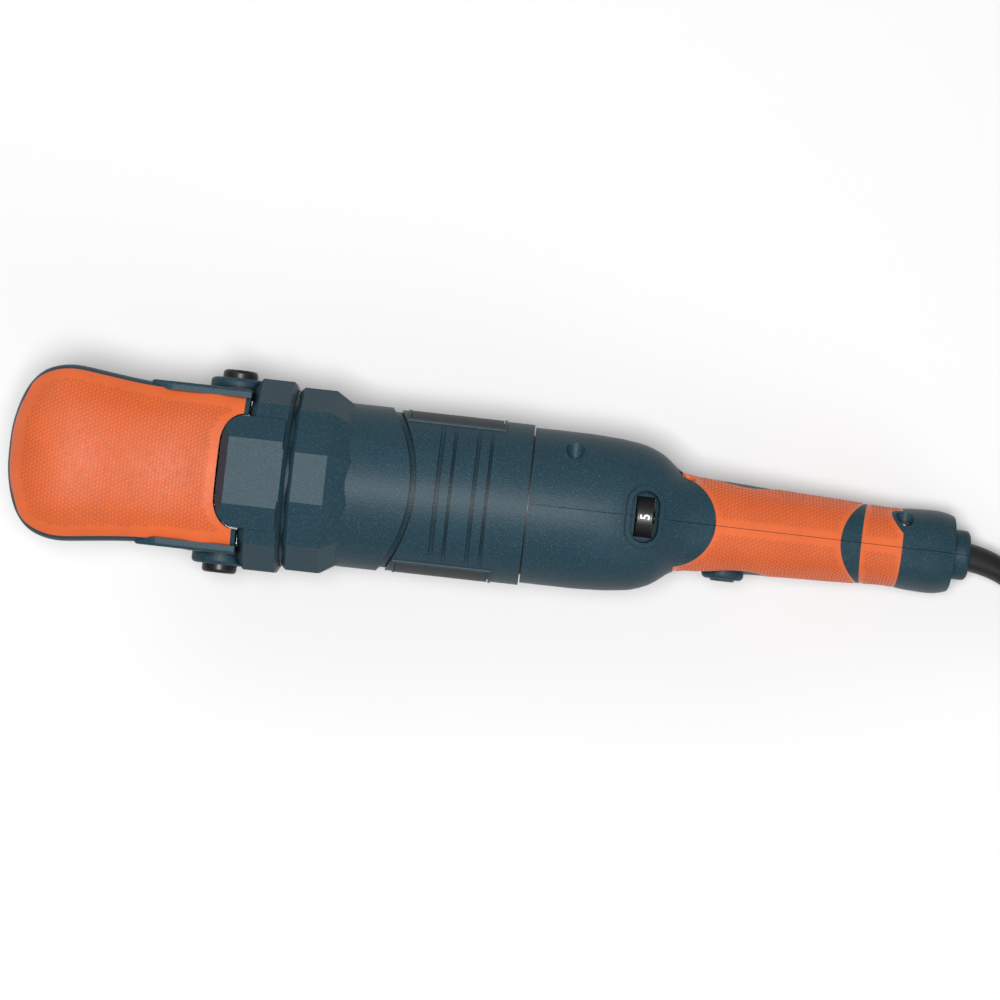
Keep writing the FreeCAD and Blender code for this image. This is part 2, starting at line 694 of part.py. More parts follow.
def motor_housing():
    flange = twelve_sided(FLANGE_APOTHEM, (MOTOR_X[0], FLANGE_END_X))
    front = twelve_sided_cone((FLANGE_APOTHEM - 2.3, FLANGE_APOTHEM + 20.0), (MOTOR_X[0], 73.0))
    cone = twelve_sided_cone((FLANGE_APOTHEM, 33.0), (FLANGE_END_X, 84.0))
    spigot = ring_x(41.2, 40.6, (48.2, MOTOR_X[0] + 1))
    barrel = oval_x(BARREL_HALF_WIDTH, BARREL_HALF_HEIGHT, (60.0, MOTOR_X[1]))
    sleeve = oval_x(BARREL_HALF_WIDTH + 0.7, BARREL_HALF_HEIGHT + 1.3, (70.0, 115.0))
    sleeve = sleeve.common(step_column(STEP_R))
    body = fuse(flange.common(front), cone, barrel, sleeve, *panel_bezels())
    channel = step_column(STEP_R + 3.0).cut(step_column(STEP_R))
    channel = channel.cut(oval_x(BARREL_HALF_WIDTH - 1.2, BARREL_HALF_HEIGHT - 1.1, (60.0, 120.0)))
    hollowed = cut(body, channel, *top_grooves(), *panel_recesses(0.0), *motor_hollows())
    return hollowed.fuse(spigot)


def top_grooves():
    """Shallow grooves over the top and under the belly that run out towards the sides."""
    core_r = 41.0
    offset = core_r - (BARREL_HALF_HEIGHT - 1.2)
    upper_core = rod_x(core_r, (90, 160), AXIS_Z - offset)
    lower_core = rod_x(core_r, (90, 160), AXIS_Z + offset)
    grooves = []
    for x, width in GROOVES:
        span = (x - width / 2, x + width / 2)
        above = box(span, (-32, 32), (AXIS_Z + 8, AXIS_Z + 40))
        below = box(span, (-32, 32), (AXIS_Z - 40, AXIS_Z - 8))
        grooves += [above.cut(upper_core), below.cut(lower_core)]
    return grooves


def panel_bezels():
    """The slightly raised fields round the two label plates."""
    x = (PANEL_X[0] - 1.2, PANEL_X[1] + 1.2)
    outer = oval_x(BARREL_HALF_WIDTH + 0.6, BARREL_HALF_HEIGHT + 0.6, x)
    z = (AXIS_Z - PANEL_HALF_HEIGHT - 1.4, AXIS_Z + PANEL_HALF_HEIGHT + 1.4)
    return [outer.common(box(x, y, z)) for y in ((30.0, 45.0), (-45.0, -30.0))]


def panel_recesses(margin):
    inner = oval_x(BARREL_HALF_WIDTH - 1.0, BARREL_HALF_HEIGHT - 1.0, (90, 160))
    x = (PANEL_X[0] + margin, PANEL_X[1] - margin)
    half = PANEL_HALF_HEIGHT - margin
    z = (AXIS_Z - half, AXIS_Z + half)
    return [box(x, y, z).cut(inner) for y in ((30.0, 45.0), (-45.0, -30.0))]


def side_plates():
    outer = oval_x(BARREL_HALF_WIDTH + 0.3, BARREL_HALF_HEIGHT + 0.3, (90, 160))
    return [recess.common(outer) for recess in panel_recesses(0.4)]


def motor_hollows():
    bore = rod_x(MOTOR_BORE_R, (MOTOR_X[0] - 1, MOTOR_X[1] + 1))
    threads = [rod_x(2.2, (MOTOR_X[0] - 1, 63.0), z, y) for y, z in tie_screw_places()]
    return [bore] + threads


def fan():
    hub = ring_x(10.5, 6.0 + FIT, (66.5, 80.0))
    disc = turned_x([(78.5, 10.0), (80.0, 10.0), (80.0, 30.5), (79.0, 30.5), (77.5, 12.0), (78.0, 10.0)])
    blades = []
    for i in range(11):
        blade = box((68.0, 79.2), (-0.7, 0.7), (AXIS_Z + 9.8, AXIS_Z + 30.0))
        blade.rotate(V(73.6, 0, AXIS_Z), V(0, 0, 1), 12)
        blade.rotate(V(0, 0, AXIS_Z), V(1, 0, 0), 360.0 * i / 11)
        blades.append(blade)
    return fuse(hub, disc, *blades)


def slots(inner_r, outer_r, half_width, x, count):
    cuts = []
    for i in range(count):
        slot = box(x, (-half_width, half_width), (AXIS_Z + inner_r, AXIS_Z + outer_r))
        slot.rotate(V(0, 0, AXIS_Z), V(1, 0, 0), 360.0 * i / count)
        cuts.append(slot)
    return cuts


def armature_core():
    return cut(ring_x(18.5, 6.0 + FIT, (96.0, 148.0)), *slots(10.4, 20.0, 1.3, (95.0, 149.0), 12))


def windings():
    front = turned_x([(87.0, 7.0), (87.0, 11.0), (90.0, 15.6), (95.8, 16.6), (95.8, 7.0)])
    rear = turned_x([(157.0, 7.0), (157.0, 11.0), (154.0, 15.6), (148.2, 16.6), (148.2, 7.0)])
    return fuse(front, rear, *slots(10.5, 16.4, 1.15, (95.7, 148.3), 12))


def commutator():
    body = turned_x(
        [(162.5, 6.02), (162.5, 15.0), (164.5, 15.0), (164.5, 13.5), (182.0, 13.5), (182.0, 6.02)]
    )
    return cut(body, *slots(12.6, 16.0, 0.25, (161.0, 183.0), 24))


def armature_shaft():
    return turned_x(
        [(35.0, 0), (35.0, 1.9), (47.4, 1.9), (48.0, 4.6), (54.0, 5.0), (64.5, 5.0), (65.0, 6.0),
         (184.0, 6.0), (184.0, 5.0), (186.6, 5.0), (186.6, 4.0), (195.6, 4.0), (196.0, 3.6), (196.0, 0)]
    )


def stator_sector(inner_r, outer_r, half_angle, x, middle):
    """A ring sector about the motor axis, centred on an angle from +Y."""
    ring = ring_x(outer_r, inner_r, x)
    reach = 60.0
    tip = [(0.0, AXIS_Z)]
    steps = 8
    for i in range(steps + 1):
        tip.append(polar(reach, middle - half_angle + 2 * half_angle * i / steps))
    return ring.common(prism_x(tip, x))


def stator_core():
    x = (96.0, 148.0)
    ring = ring_x(MOTOR_BORE_R - FIT, 28.2, x)
    poles = [stator_sector(19.4, 22.4, 58, x, middle) for middle in (90, 270)]
    neck = box(x, (-10.5, 10.5), (AXIS_Z - 29.0, AXIS_Z + 29.0)).cut(rod_x(19.4, (90, 150)))
    return fuse(ring, neck, *poles)


def field_coils():
    coils = []
    for middle in (90, 270):
        loop = stator_sector(22.7, 27.9, 56, (87.5, 156.5), middle)
        loop = loop.cut(box((95.2, 148.8), (-10.8, 10.8), (AXIS_Z - 40, AXIS_Z + 40)))
        coils.append(loop)
    return coils


def bearing_bracket():
    """The moulded bridge behind the motor that carries the brushes and the rear bearing."""
    rim = ring_x(33.6, 29.0, (157.6, MOTOR_X[1] - 0.1)).fuse(ring_x(32.8, 28.5, (160.0, 166.0)))
    cage = ring_x(29.0, 26.4, (157.6, 188.0))
    end = rod_x(29.0, (184.0, 188.0)).cut(rod_x(7.0, (180.0, 190.0)))
    boss = rod_x(14.0, (184.0, 196.5))
    body = fuse(rim, cage, end, boss)
    windows = box((166.0, 180.1), (-40, 40), (AXIS_Z - 7.6, AXIS_Z + 7.6))
    above = box((175.5, 200.0), (-40, 40), (AXIS_Z + 18.6, AXIS_Z + 40))
    below = box((175.5, 200.0), (-40, 40), (AXIS_Z - 40, AXIS_Z - 18.6))
    bearing_seat = rod_x(11.0 + FIT, (187.0, 197.0))
    return cut(body, bearing_seat, rod_x(8.5, (183.0, 190.0)), windows, above, below)


def brush_parts():
    """Holders, carbon brushes and springs on both sides of the commutator."""
    holders, brushes, springs = [], [], []
    for side in (1, -1):
        holder = box((166.2, 179.8), (15.6, 30.5), (AXIS_Z - 7.3, AXIS_Z + 7.3))
        bore = box((169.4, 176.6), (15.0, 31.0), (AXIS_Z - 4.6, AXIS_Z + 4.6))
        brush = box((169.5, 176.5), (13.7, 26.0), (AXIS_Z - 4.5, AXIS_Z + 4.5))
        brush = brush.cut(rod_x(13.62, (160, 185)))
        spring = coil_spring(2.6, 0.35, 4, 4.6)
        spring = placed(spring, (173.0, 26.4, AXIS_Z), (0, 1, 0))
        for group, shape in ((holders, holder.cut(bore)), (brushes, brush), (springs, spring)):
            group.append(shape if side > 0 else mirrored_y(shape))
    return holders, brushes, springs


# ---- rear housing ----
def rear_loft(body_inset, handle_inset):
    """The rear housing's outside, shrunk by one amount round the motor and another in the handle."""
    wires = []
    for x, half, top, bottom, power in REAR:
        share = min(1.0, max(0.0, (x - 231.0) / 13.0))
        inset = body_inset + (handle_inset - body_inset) * share
        wires.append(superellipse(x, half - inset, top - inset, bottom + inset, power))
    return Part.makeLoft(wires, True, False)


def trigger_slot(half_width, ends):
    return handle_frame(box((-2.5 - ends, 54.5 + ends), (-half_width, half_width), (-45, -9)))


def grip_zone():
    zone = box(GRIP_X, (-40, 40), (-10, 130))
    tongue = rod_z(TONGUE_R, (-20, 140), TONGUE_X)
    crescent = rod_z(CRESCENT_R, (-20, 140), CRESCENT_X)
    before_end = box((290, CRESCENT_END_X), (-40, 40), (-60, 180))
    groove = box((CRESCENT_END_X, CRESCENT_END_X + 0.8), (-40, 40), (-60, 180))
    for leaning in (before_end, groove):
        leaning.rotate(V(CRESCENT_END_X, 0, 60), V(0, 1, 0), -CRESCENT_LEAN)
    crescent = crescent.common(before_end).common(box((290, 340), (-40, 40), (47.0, 140)))
    pommel_pocket = rod_y(6.4, (0, 60), *CLAMSHELL_SCREWS[-1])
    ovals = rod_y(1.0, (-60, 60), 0, 0)
    ovals = ovals.transformGeometry(scale_matrix(16.0, 1.0, 10.5))
    ovals = handle_frame(ovals)
    return cut(zone, tongue, crescent, groove, ovals, pommel_pocket, trigger_slot(9.5, 3.0))


def scale_matrix(x, y, z):
    matrix = FreeCAD.Matrix()
    matrix.scale(x, y, z)
    return matrix


def rear_parts():
    """The two housing halves and the two grip halves."""
    outer = rear_loft(0.0, 0.0)
    bosses, boss_holes = clamshell_bosses()
    collar = rod_y(10.0, (-24.6, -17.5), BUTTON_X, BUTTON_Z)
    collar = collar.makeFillet(2.4, [e for e in collar.Edges if e.BoundBox.YMax < -24.59])
    skin = outer.common(grip_zone()).cut(rear_loft(WALL, GRIP_SKIN))
    skin = skin.cut([collar] + boss_holes)
    dial_middle = ((DIAL_X[0] + DIAL_X[1]) / 2, 0.0)
    rim = stadium_z(dial_middle, 8.8, 14.5, (95, 120)).common(rear_loft(-0.8, -0.8))
    dish = stadium_z(dial_middle, 6.75, 12.25, (95, 120)).cut(rear_loft(0.5, 0.5))
    window = box((dial_middle[0] - 4.7, dial_middle[0] + 4.7), (-9.5, 9.5), (90, 120))
    neck = rod_x(NECK_R, NECK_X, NECK_Z)
    neck = neck.makeFillet(2.5, [e for e in neck.Edges if e.BoundBox.XMin > NECK_X[1] - 0.01])
    hollow = rear_loft(WALL, HANDLE_WALL)
    room = hollow.cut(box((361.5, 370), (-40, 40), (-10, 130)))
    front, half, top, bottom, power = REAR[0]
    inset = WALL - 0.1
    mouth = Part.Face(superellipse(front - 1.0, half - inset, top - inset, bottom + inset, power))
    mouth = mouth.extrude(V(1.6, 0, 0))
    shell = outer
    for added in (rim, neck, collar):
        shell = shell.fuse(added)
    for hole in (room, mouth, dish, window, trigger_slot(7.0, 0.0), side_vents()):
        shell = shell.cut(hole)
    shell = shell.fuse(bosses.common(outer))
    shell = shell.cut(boss_holes).cut(skin)
    shell = cut(
        shell,
        rod_x(DIAL_R + 0.6, (DIAL_X[0] - 0.7, DIAL_X[1] + 0.7), DIAL_Z),
        handle_frame(trigger_pin(RUN, 9.8)),
        rod_y(BUTTON_R + RUN, (-40, -10), BUTTON_X, BUTTON_Z),
        rod_x(CORD_R + 0.1, (355, 380), NECK_Z),
        rod_x(8.5 + FIT, (367.0, 380), NECK_Z),
    )
    left = box((150, 400), (SEAM_HALF_GAP, 60), (-20, 150))
    right = box((150, 400), (-60, -SEAM_HALF_GAP), (-20, 150))
    grips = [solids_over(skin.common(half)) for half in (left, right)]
    return shell.common(left), shell.common(right), *grips


def side_vents():
    vents = []
    for i in range(5):
        x = 191.0 + 6.0 * i
        for y in ((24.0, 50.0), (-50.0, -24.0)):
            vents.append(box((x, x + 3.0), y, (49.0, 68.0)))
    return vents


def clamshell_bosses():
    """Pillars for the clamshell screws, and their pockets and holes."""
    bosses, holes = [], []
    for x, z in CLAMSHELL_SCREWS:
        bosses.append(rod_y(4.8, (-36.0, 36.0), x, z))
        floor = screw_floor(x)
        holes.append(rod_y(4.35, (floor, 45.0), x, z))
        holes.append(rod_y(2.1, (0.0, floor + 1), x, z))
        holes.append(rod_y(1.7, (-11.0, 0.1), x, z))
    return fuse(*bosses), holes


def screw_floor(x):
    """How far from the seam a screw's head sits."""
    return 17.0 if x < 200 else 9.5


def clamshell_screws():
    return [
        placed(screw(1.68, 3.6, 2.4, screw_floor(x) + 9.0), (x, screw_floor(x) + 0.02, z), (0, 1, 0))
        for x, z in CLAMSHELL_SCREWS
    ]


# ---- controls ----
def speed_dial():
    """A notched wheel with six plain pads between the notches, one for each figure."""
    wheel = rod_x(DIAL_R, DIAL_X, DIAL_Z)
    wheel = wheel.makeFillet(0.7, [e for e in wheel.Edges if e.Length > 60])
    notches = []
    for pad in range(6):
        for i in range(6):
            notch = box(
                (DIAL_X[0] - 1, DIAL_X[1] + 1), (-0.25, 0.25), (DIAL_Z + DIAL_R - 0.6, DIAL_Z + DIAL_R + 1)
            )
            notch.rotate(V(0, 0, DIAL_Z), V(1, 0, 0), 60.0 * pad + 15.75 + 5.7 * i)
            notches.append(notch)
    shaft = rod_x(2.5, (207.0, 227.0), DIAL_Z)
    return fuse(cut(wheel, *notches), shaft)


def speed_module():
    board = box((199.0, 230.4), (-15.0, 15.0), (60.0, 78.0))
    ears = [box(x, (-5.5, 5.5), (77.0, 98.4)) for x in ((207.6, 210.6), (223.4, 226.4))]
    fins = [box((202.0 + 4.8 * i, 203.4 + 4.8 * i), (-13, 13), (57.5, 61.0)) for i in range(6)]
    return cut(fuse(board, *ears, *fins), rod_x(2.5 + RUN, (200, 230), DIAL_Z))


def trigger_pin(clearance, reach):
    """The trigger's hinge pin, in the handle's own frame."""
    return rod_y(2.2 + clearance, (-reach, reach), 2.5, -17.5)


def trigger():
    """The paddle under the rear handle, hinged at its front end."""
    outline = [(-1.0, -13.5), (50.0, -13.5), (53.0, -16.0), (53.5, -24.0), (51.0, -29.0), (44.0, -32.0),
               (30.0, -32.5), (16.0, -30.0), (6.0, -26.0), (-1.5, -23.5), (-2.0, -17.0)]
    points = [V(x, -6.5, z) for x, z in outline]
    body = face_of(points).extrude(V(0, 13.0, 0))
    long_edges = [e for e in body.Edges if e.BoundBox.YLength < 0.01 and e.BoundBox.ZMax < -23.0]
    body = body.makeFillet(2.0, long_edges)
    return handle_frame(fuse(body, trigger_pin(0.0, 9.5)))


def switch_body():
    body = box((7.0, 50.0), (-10.5, 10.5), (-5.0, 11.0))
    plunger = box((30.0, 36.0), (-2.5, 2.5), (-6.2, -4.0))
    return handle_frame(fuse(body, plunger))


def trigger_spring():
    return handle_frame(placed(coil_spring(2.6, 0.4, 5, 6.6), (44.0, 0, -12.6), (0, 0, 1)))


def lock_on_button():
    cap = rod_y(BUTTON_R, (-25.6, -13.0), BUTTON_X, BUTTON_Z)
    cap = cap.makeFillet(1.2, [e for e in cap.Edges if e.BoundBox.YMax < -25.59])
    return fuse(cap, rod_y(7.2, (-15.2, -13.6), BUTTON_X, BUTTON_Z))


def spindle_lock_pin():
    head = rod_x(5.6, (-46.5, -41.0), 42.0)
    head = head.makeFillet(1.2, [e for e in head.Edges if e.BoundBox.XMax < -46.49])
    stem = rod_x(3.5, (-42.0, -27.5), 42.0)
    blade = box((-28.0, -24.2), (-1.7, 1.7), (39.8, 43.2))
    return fuse(head, stem, blade)


def spindle_lock_spring():
    return placed(coil_spring(4.4, 0.5, 4, 7.4), (-40.4, 0, 42.0), (1, 0, 0))


def cord_clamp():
    body = box((349.0, 357.0), (-13.0, 13.0), (24.0, 38.0))
    return cut(
        body,
        rod_x(CORD_R + FIT, (340, 360), NECK_Z),
        box((348, 358), (-14, 14), (NECK_Z - 0.5, NECK_Z + 0.5)),
        *[rod_z(1.7, (20, 40), 353.0, y) for y in (-9.0, 9.0)],
    )


def cord_clamp_screws():
    return [placed(screw(1.68, 3.2, 2.2, 15.0), (353.0, y, 38.0), (0, 0, 1)) for y in (-9.0, 9.0)]


# ---- mains lead ----
def guard_stations():
    """(point, direction, radius) along the bent strain relief."""
    stations = []
    place = V(GUARD_START)
    forward = V(1, 0, 0)
    side = V(GUARD_SIDE).normalize()
    turned, run = 0.0, 0.0
    whole = sum(length for length, _ in GUARD_BENDS)
    for length, turn in GUARD_BENDS:
        steps = 8
        for i in range(steps):
            angle = math.radians(turned + turn * (i + 0.5) / steps)
            heading = forward * math.cos(angle) + side * math.sin(angle)
            at = math.radians(turned + turn * i / steps)
            direction = forward * math.cos(at) + side * math.sin(at)
            stations.append((V(place), direction, 7.2 - 1.9 * run / whole))
            place = place + heading * (length / steps)
            run += length / steps
        turned += turn
    angle = math.radians(turned)
    stations.append((V(place), forward * math.cos(angle) + side * math.sin(angle), 5.3))
    return stations


def cord_guard():
    stations = guard_stations()
    outer = [Part.Wire(Part.makeCircle(r, p, d)) for p, d, r in stations]
    body = Part.makeLoft(outer, True, False)
    flange = rod_x(8.5, (367.1, 369.4), NECK_Z)
    start, _, _ = stations[0]
    return fuse(body, flange.common(box((start.x, 370), (-20, 20), (0, 60))))


def cord_path(points):
    """Straight runs joined by arcs tangent to both, each as large as its shorter run allows."""
    edges = []
    start = points[0]
    for i in range(1, len(points) - 1):
        before, corner, after = points[i - 1], points[i], points[i + 1]
        back = (before - corner).normalize()
        ahead = (after - corner).normalize()
        half_turn = (math.pi - back.getAngle(ahead)) / 2
        setback = 0.45 * min((before - corner).Length, (after - corner).Length)
        radius = setback / math.tan(half_turn)
        first = corner + back * setback
        last = corner + ahead * setback
        inward = (back + ahead).normalize()
        middle = corner + inward * (radius / math.cos(half_turn) - radius)
        edges.append(Part.LineSegment(start, first).toShape())
        edges.append(Part.Arc(first, middle, last).toShape())
        start = last
    edges.append(Part.LineSegment(start, points[-1]).toShape())
    return Part.Wire(edges)


def power_cord():
    points = [V(*p) for p in CORD_ROUTE]
    ring = Part.Wire(Part.makeCircle(CORD_R, points[0], points[1] - points[0]))
    return cord_path(points).makePipeShell([ring], True, True)


def cord_coil():
    inner = COIL_TURNS_R[0] - CORD_R
    outer = COIL_TURNS_R[-1] + CORD_R
    step = COIL_TURNS_R[1] + CORD_R
    height = 2 * CORD_R * COIL_LAYERS
    outline = [
        (inner + 2, 0), (outer - 2, 0), (outer, 2), (outer, height - 2), (outer - 2, height),
        (step, height), (step, height + 6), (step - 2, height + 8), (inner + 2, height + 8),
        (inner, height + 6), (inner, 2),
    ]
    solid = turned_z(outline)
    solid.translate(V(COIL_CENTRE[0], COIL_CENTRE[1], 0))
    return solid


def plug_frame(shape):
    """Lays a shape modelled along +X from the cable entry on the coil, pointing along +Y."""
    shape.rotate(V(0, 0, 0), V(0, 0, 1), 90)
    shape.translate(V(*PLUG_ENTRY))
    return shape


def plug_body():
    relief = turned_x([(0, 4.02), (0, 5.2), (22, 6.8), (26, 7.5), (26, 4.02)], 0)
    wide = prism_z([(24, -8), (30, -15), (36, -17.5), (58, -17.5), (61, -14.5), (61, 14.5), (58, 17.5),
                    (36, 17.5), (30, 15), (24, 8)], (-8.4, 8.4))
    wide = wide.makeFillet(2.5, [e for e in wide.Edges if e.BoundBox.ZLength < 0.01])
    roots = [rod_x(3.0 + FIT, (50.0, 62.0), 0, y) for y in (-9.5, 9.5)]
    return plug_frame(cut(fuse(relief, wide), *roots))


def plug_pins():
    pins = []
    for y in (-9.5, 9.5):
        pin = rod_x(2.4, (60.0, 80.0), 0, y)
        pin = pin.makeFillet(1.2, [e for e in pin.Edges if e.BoundBox.XMin > 79.9])
        pins.append(plug_frame(fuse(pin, rod_x(3.0, (50.1, 61.0), 0, y))))
    return pins


# ---- everything, node by node ----
def all_nodes():
    core, skin = hood()
    half_left, half_right, grip_left, grip_right = rear_parts()
    holders, brushes, springs = brush_parts()
    spindle_inner, spindle_outer = SPINDLE_BEARING_R
    front_x, rear_x, counter_x = (54.2, 63.2), (187.2, 194.2), (24.6, 32.6)
    return {
        "gear_housing": gear_housing(),
        "bearing_retainer": bearing_retainer(),
        "retainer_screws": retainer_screws(),
        "gearbox_plate": gearbox_plate(),
        "tie_screws": tie_screws(),
        "gear_cover": gear_cover(),
        "hood_handle_core": core,
        "hood_handle_grip": skin,
        "handle_screws": handle_screws(),
        "motor_housing": motor_housing(),
        "side_plates": side_plates(),
        "stator_core": stator_core(),
        "field_coils": field_coils(),
        "air_baffle": ring_x(MOTOR_BORE_R - FIT, 21.0, (82.0, 85.0)),
        "bearing_bracket": bearing_bracket(),
        "brush_holders": holders,
        "carbon_brushes": brushes,
        "brush_springs": springs,
        "rear_housing_left": half_left,
        "rear_housing_right": half_right,
        "rear_grip_left": grip_left,
        "rear_grip_right": grip_right,
        "clamshell_screws": clamshell_screws(),
        "speed_module": speed_module(),
        "switch_body": switch_body(),
        "trigger_spring": trigger_spring(),
        "cord_clamp": cord_clamp(),
        "cord_clamp_screws": cord_clamp_screws(),
        "cord_guard": cord_guard(),
        "power_cord": power_cord(),
        "cord_coil": cord_coil(),
        "plug_body": plug_body(),
        "plug_pins": plug_pins(),
        "front_bearing_outer": bearing_outer_x(5.0, 15.0, front_x, AXIS_Z),
        "rear_bearing_outer": bearing_outer_x(4.0, 11.0, rear_x, AXIS_Z),
        "counter_bearing_outer": bearing_outer_x(6.0, 14.0, counter_x, COUNTER_Z),
        "counter_bush": ring_x(7.0, 4.0 + RUN, (47.0, 53.0), COUNTER_Z),
        "spindle_bearing_outer": upright(
            bearing_outer_x(spindle_inner, spindle_outer, SPINDLE_BEARING_Z, AXIS_Z)
        ),
        "spindle_bush": ring_z(9.0 - FIT, 6.0 + RUN, (79.5, 87.5)),
        "spindle_seal": ring_z(11.55, 9.0 + RUN, (23.2, 26.8)),
        "armature_shaft": armature_shaft(),
        "armature_core": armature_core(),
        "armature_windings": windings(),
        "commutator": commutator(),
        "cooling_fan": fan(),
        "armature_pinion": spur_gear(
            PINION_TEETH, SPUR_SHIFT, (35.4, 46.6), AXIS_Z, -90.0, 0.2
        ).cut(rod_x(1.9 + FIT, (30, 50))),
        "front_bearing_inner": bearing_inner_x(5.0, 15.0, front_x, AXIS_Z),
        "rear_bearing_inner": bearing_inner_x(4.0, 11.0, rear_x, AXIS_Z),
        "countershaft": turned_x(
            [(16.2, 0), (16.2, 3.5 - FIT), (23.8, 3.5 - FIT), (23.8, 6.0), (33.4, 6.0), (33.4, 7.2),
             (35.9, 7.2), (35.9, 5.0), (46.2, 5.0), (46.2, 4.0), (52.8, 4.0), (52.8, 0)],
            COUNTER_Z,
        ),
        "countershaft_gear": spur_gear(
            WHEEL_TEETH, -SPUR_SHIFT, SPUR_X, COUNTER_Z, 90.0 + 180.0 / WHEEL_TEETH
        ).cut(rod_x(5.0 + FIT, (30, 50), COUNTER_Z)),
        "bevel_pinion": bevel_pinion(),
        "counter_bearing_inner": bearing_inner_x(6.0, 14.0, counter_x, COUNTER_Z),
        "spindle": spindle_body(),
        "crown_gear": crown_gear(),
        "spindle_bearing_inner": upright(
            bearing_inner_x(spindle_inner, spindle_outer, SPINDLE_BEARING_Z, AXIS_Z)
        ),
        "speed_dial": speed_dial(),
        "trigger": trigger(),
        "lock_on_button": lock_on_button(),
        "spindle_lock_pin": spindle_lock_pin(),
        "spindle_lock_spring": spindle_lock_spring(),
    }


os.makedirs("parts", exist_ok=True)
for name, made in all_nodes().items():
    shape = Part.makeCompound(made) if isinstance(made, list) else made
    count = len(shape.Solids)
    print(f"{name:24s} solids {count}  valid {shape.isValid()}  volume {shape.Volume / 1000:.2f} cm3")
    shape.exportStep(f"parts/{name}.step")
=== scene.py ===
# The looks of a corded rotary polisher: moulded navy nylon, orange soft grips, a black lead.
# Everything is in metres, in the frame of the CAD model.

import json
import math

import bpy
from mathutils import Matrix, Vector
from mathutils.bvhtree import BVHTree


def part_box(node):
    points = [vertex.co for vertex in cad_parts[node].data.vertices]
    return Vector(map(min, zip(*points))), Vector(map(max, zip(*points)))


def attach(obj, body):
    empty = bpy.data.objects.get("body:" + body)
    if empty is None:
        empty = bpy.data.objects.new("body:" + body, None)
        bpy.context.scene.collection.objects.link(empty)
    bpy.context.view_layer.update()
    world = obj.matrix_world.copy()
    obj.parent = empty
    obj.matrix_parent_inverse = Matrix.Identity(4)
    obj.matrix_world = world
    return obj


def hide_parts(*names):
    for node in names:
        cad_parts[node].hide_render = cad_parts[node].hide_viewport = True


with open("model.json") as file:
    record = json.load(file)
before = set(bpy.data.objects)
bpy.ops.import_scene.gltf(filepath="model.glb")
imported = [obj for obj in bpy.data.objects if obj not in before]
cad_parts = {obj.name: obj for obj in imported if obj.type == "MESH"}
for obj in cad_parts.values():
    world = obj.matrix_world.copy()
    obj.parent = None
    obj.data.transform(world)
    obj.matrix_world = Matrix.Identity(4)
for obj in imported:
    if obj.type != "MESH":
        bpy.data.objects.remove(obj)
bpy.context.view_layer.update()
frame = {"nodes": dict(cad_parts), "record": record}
nodes = frame["nodes"]

MM = 0.001
TAU = 2 * math.pi


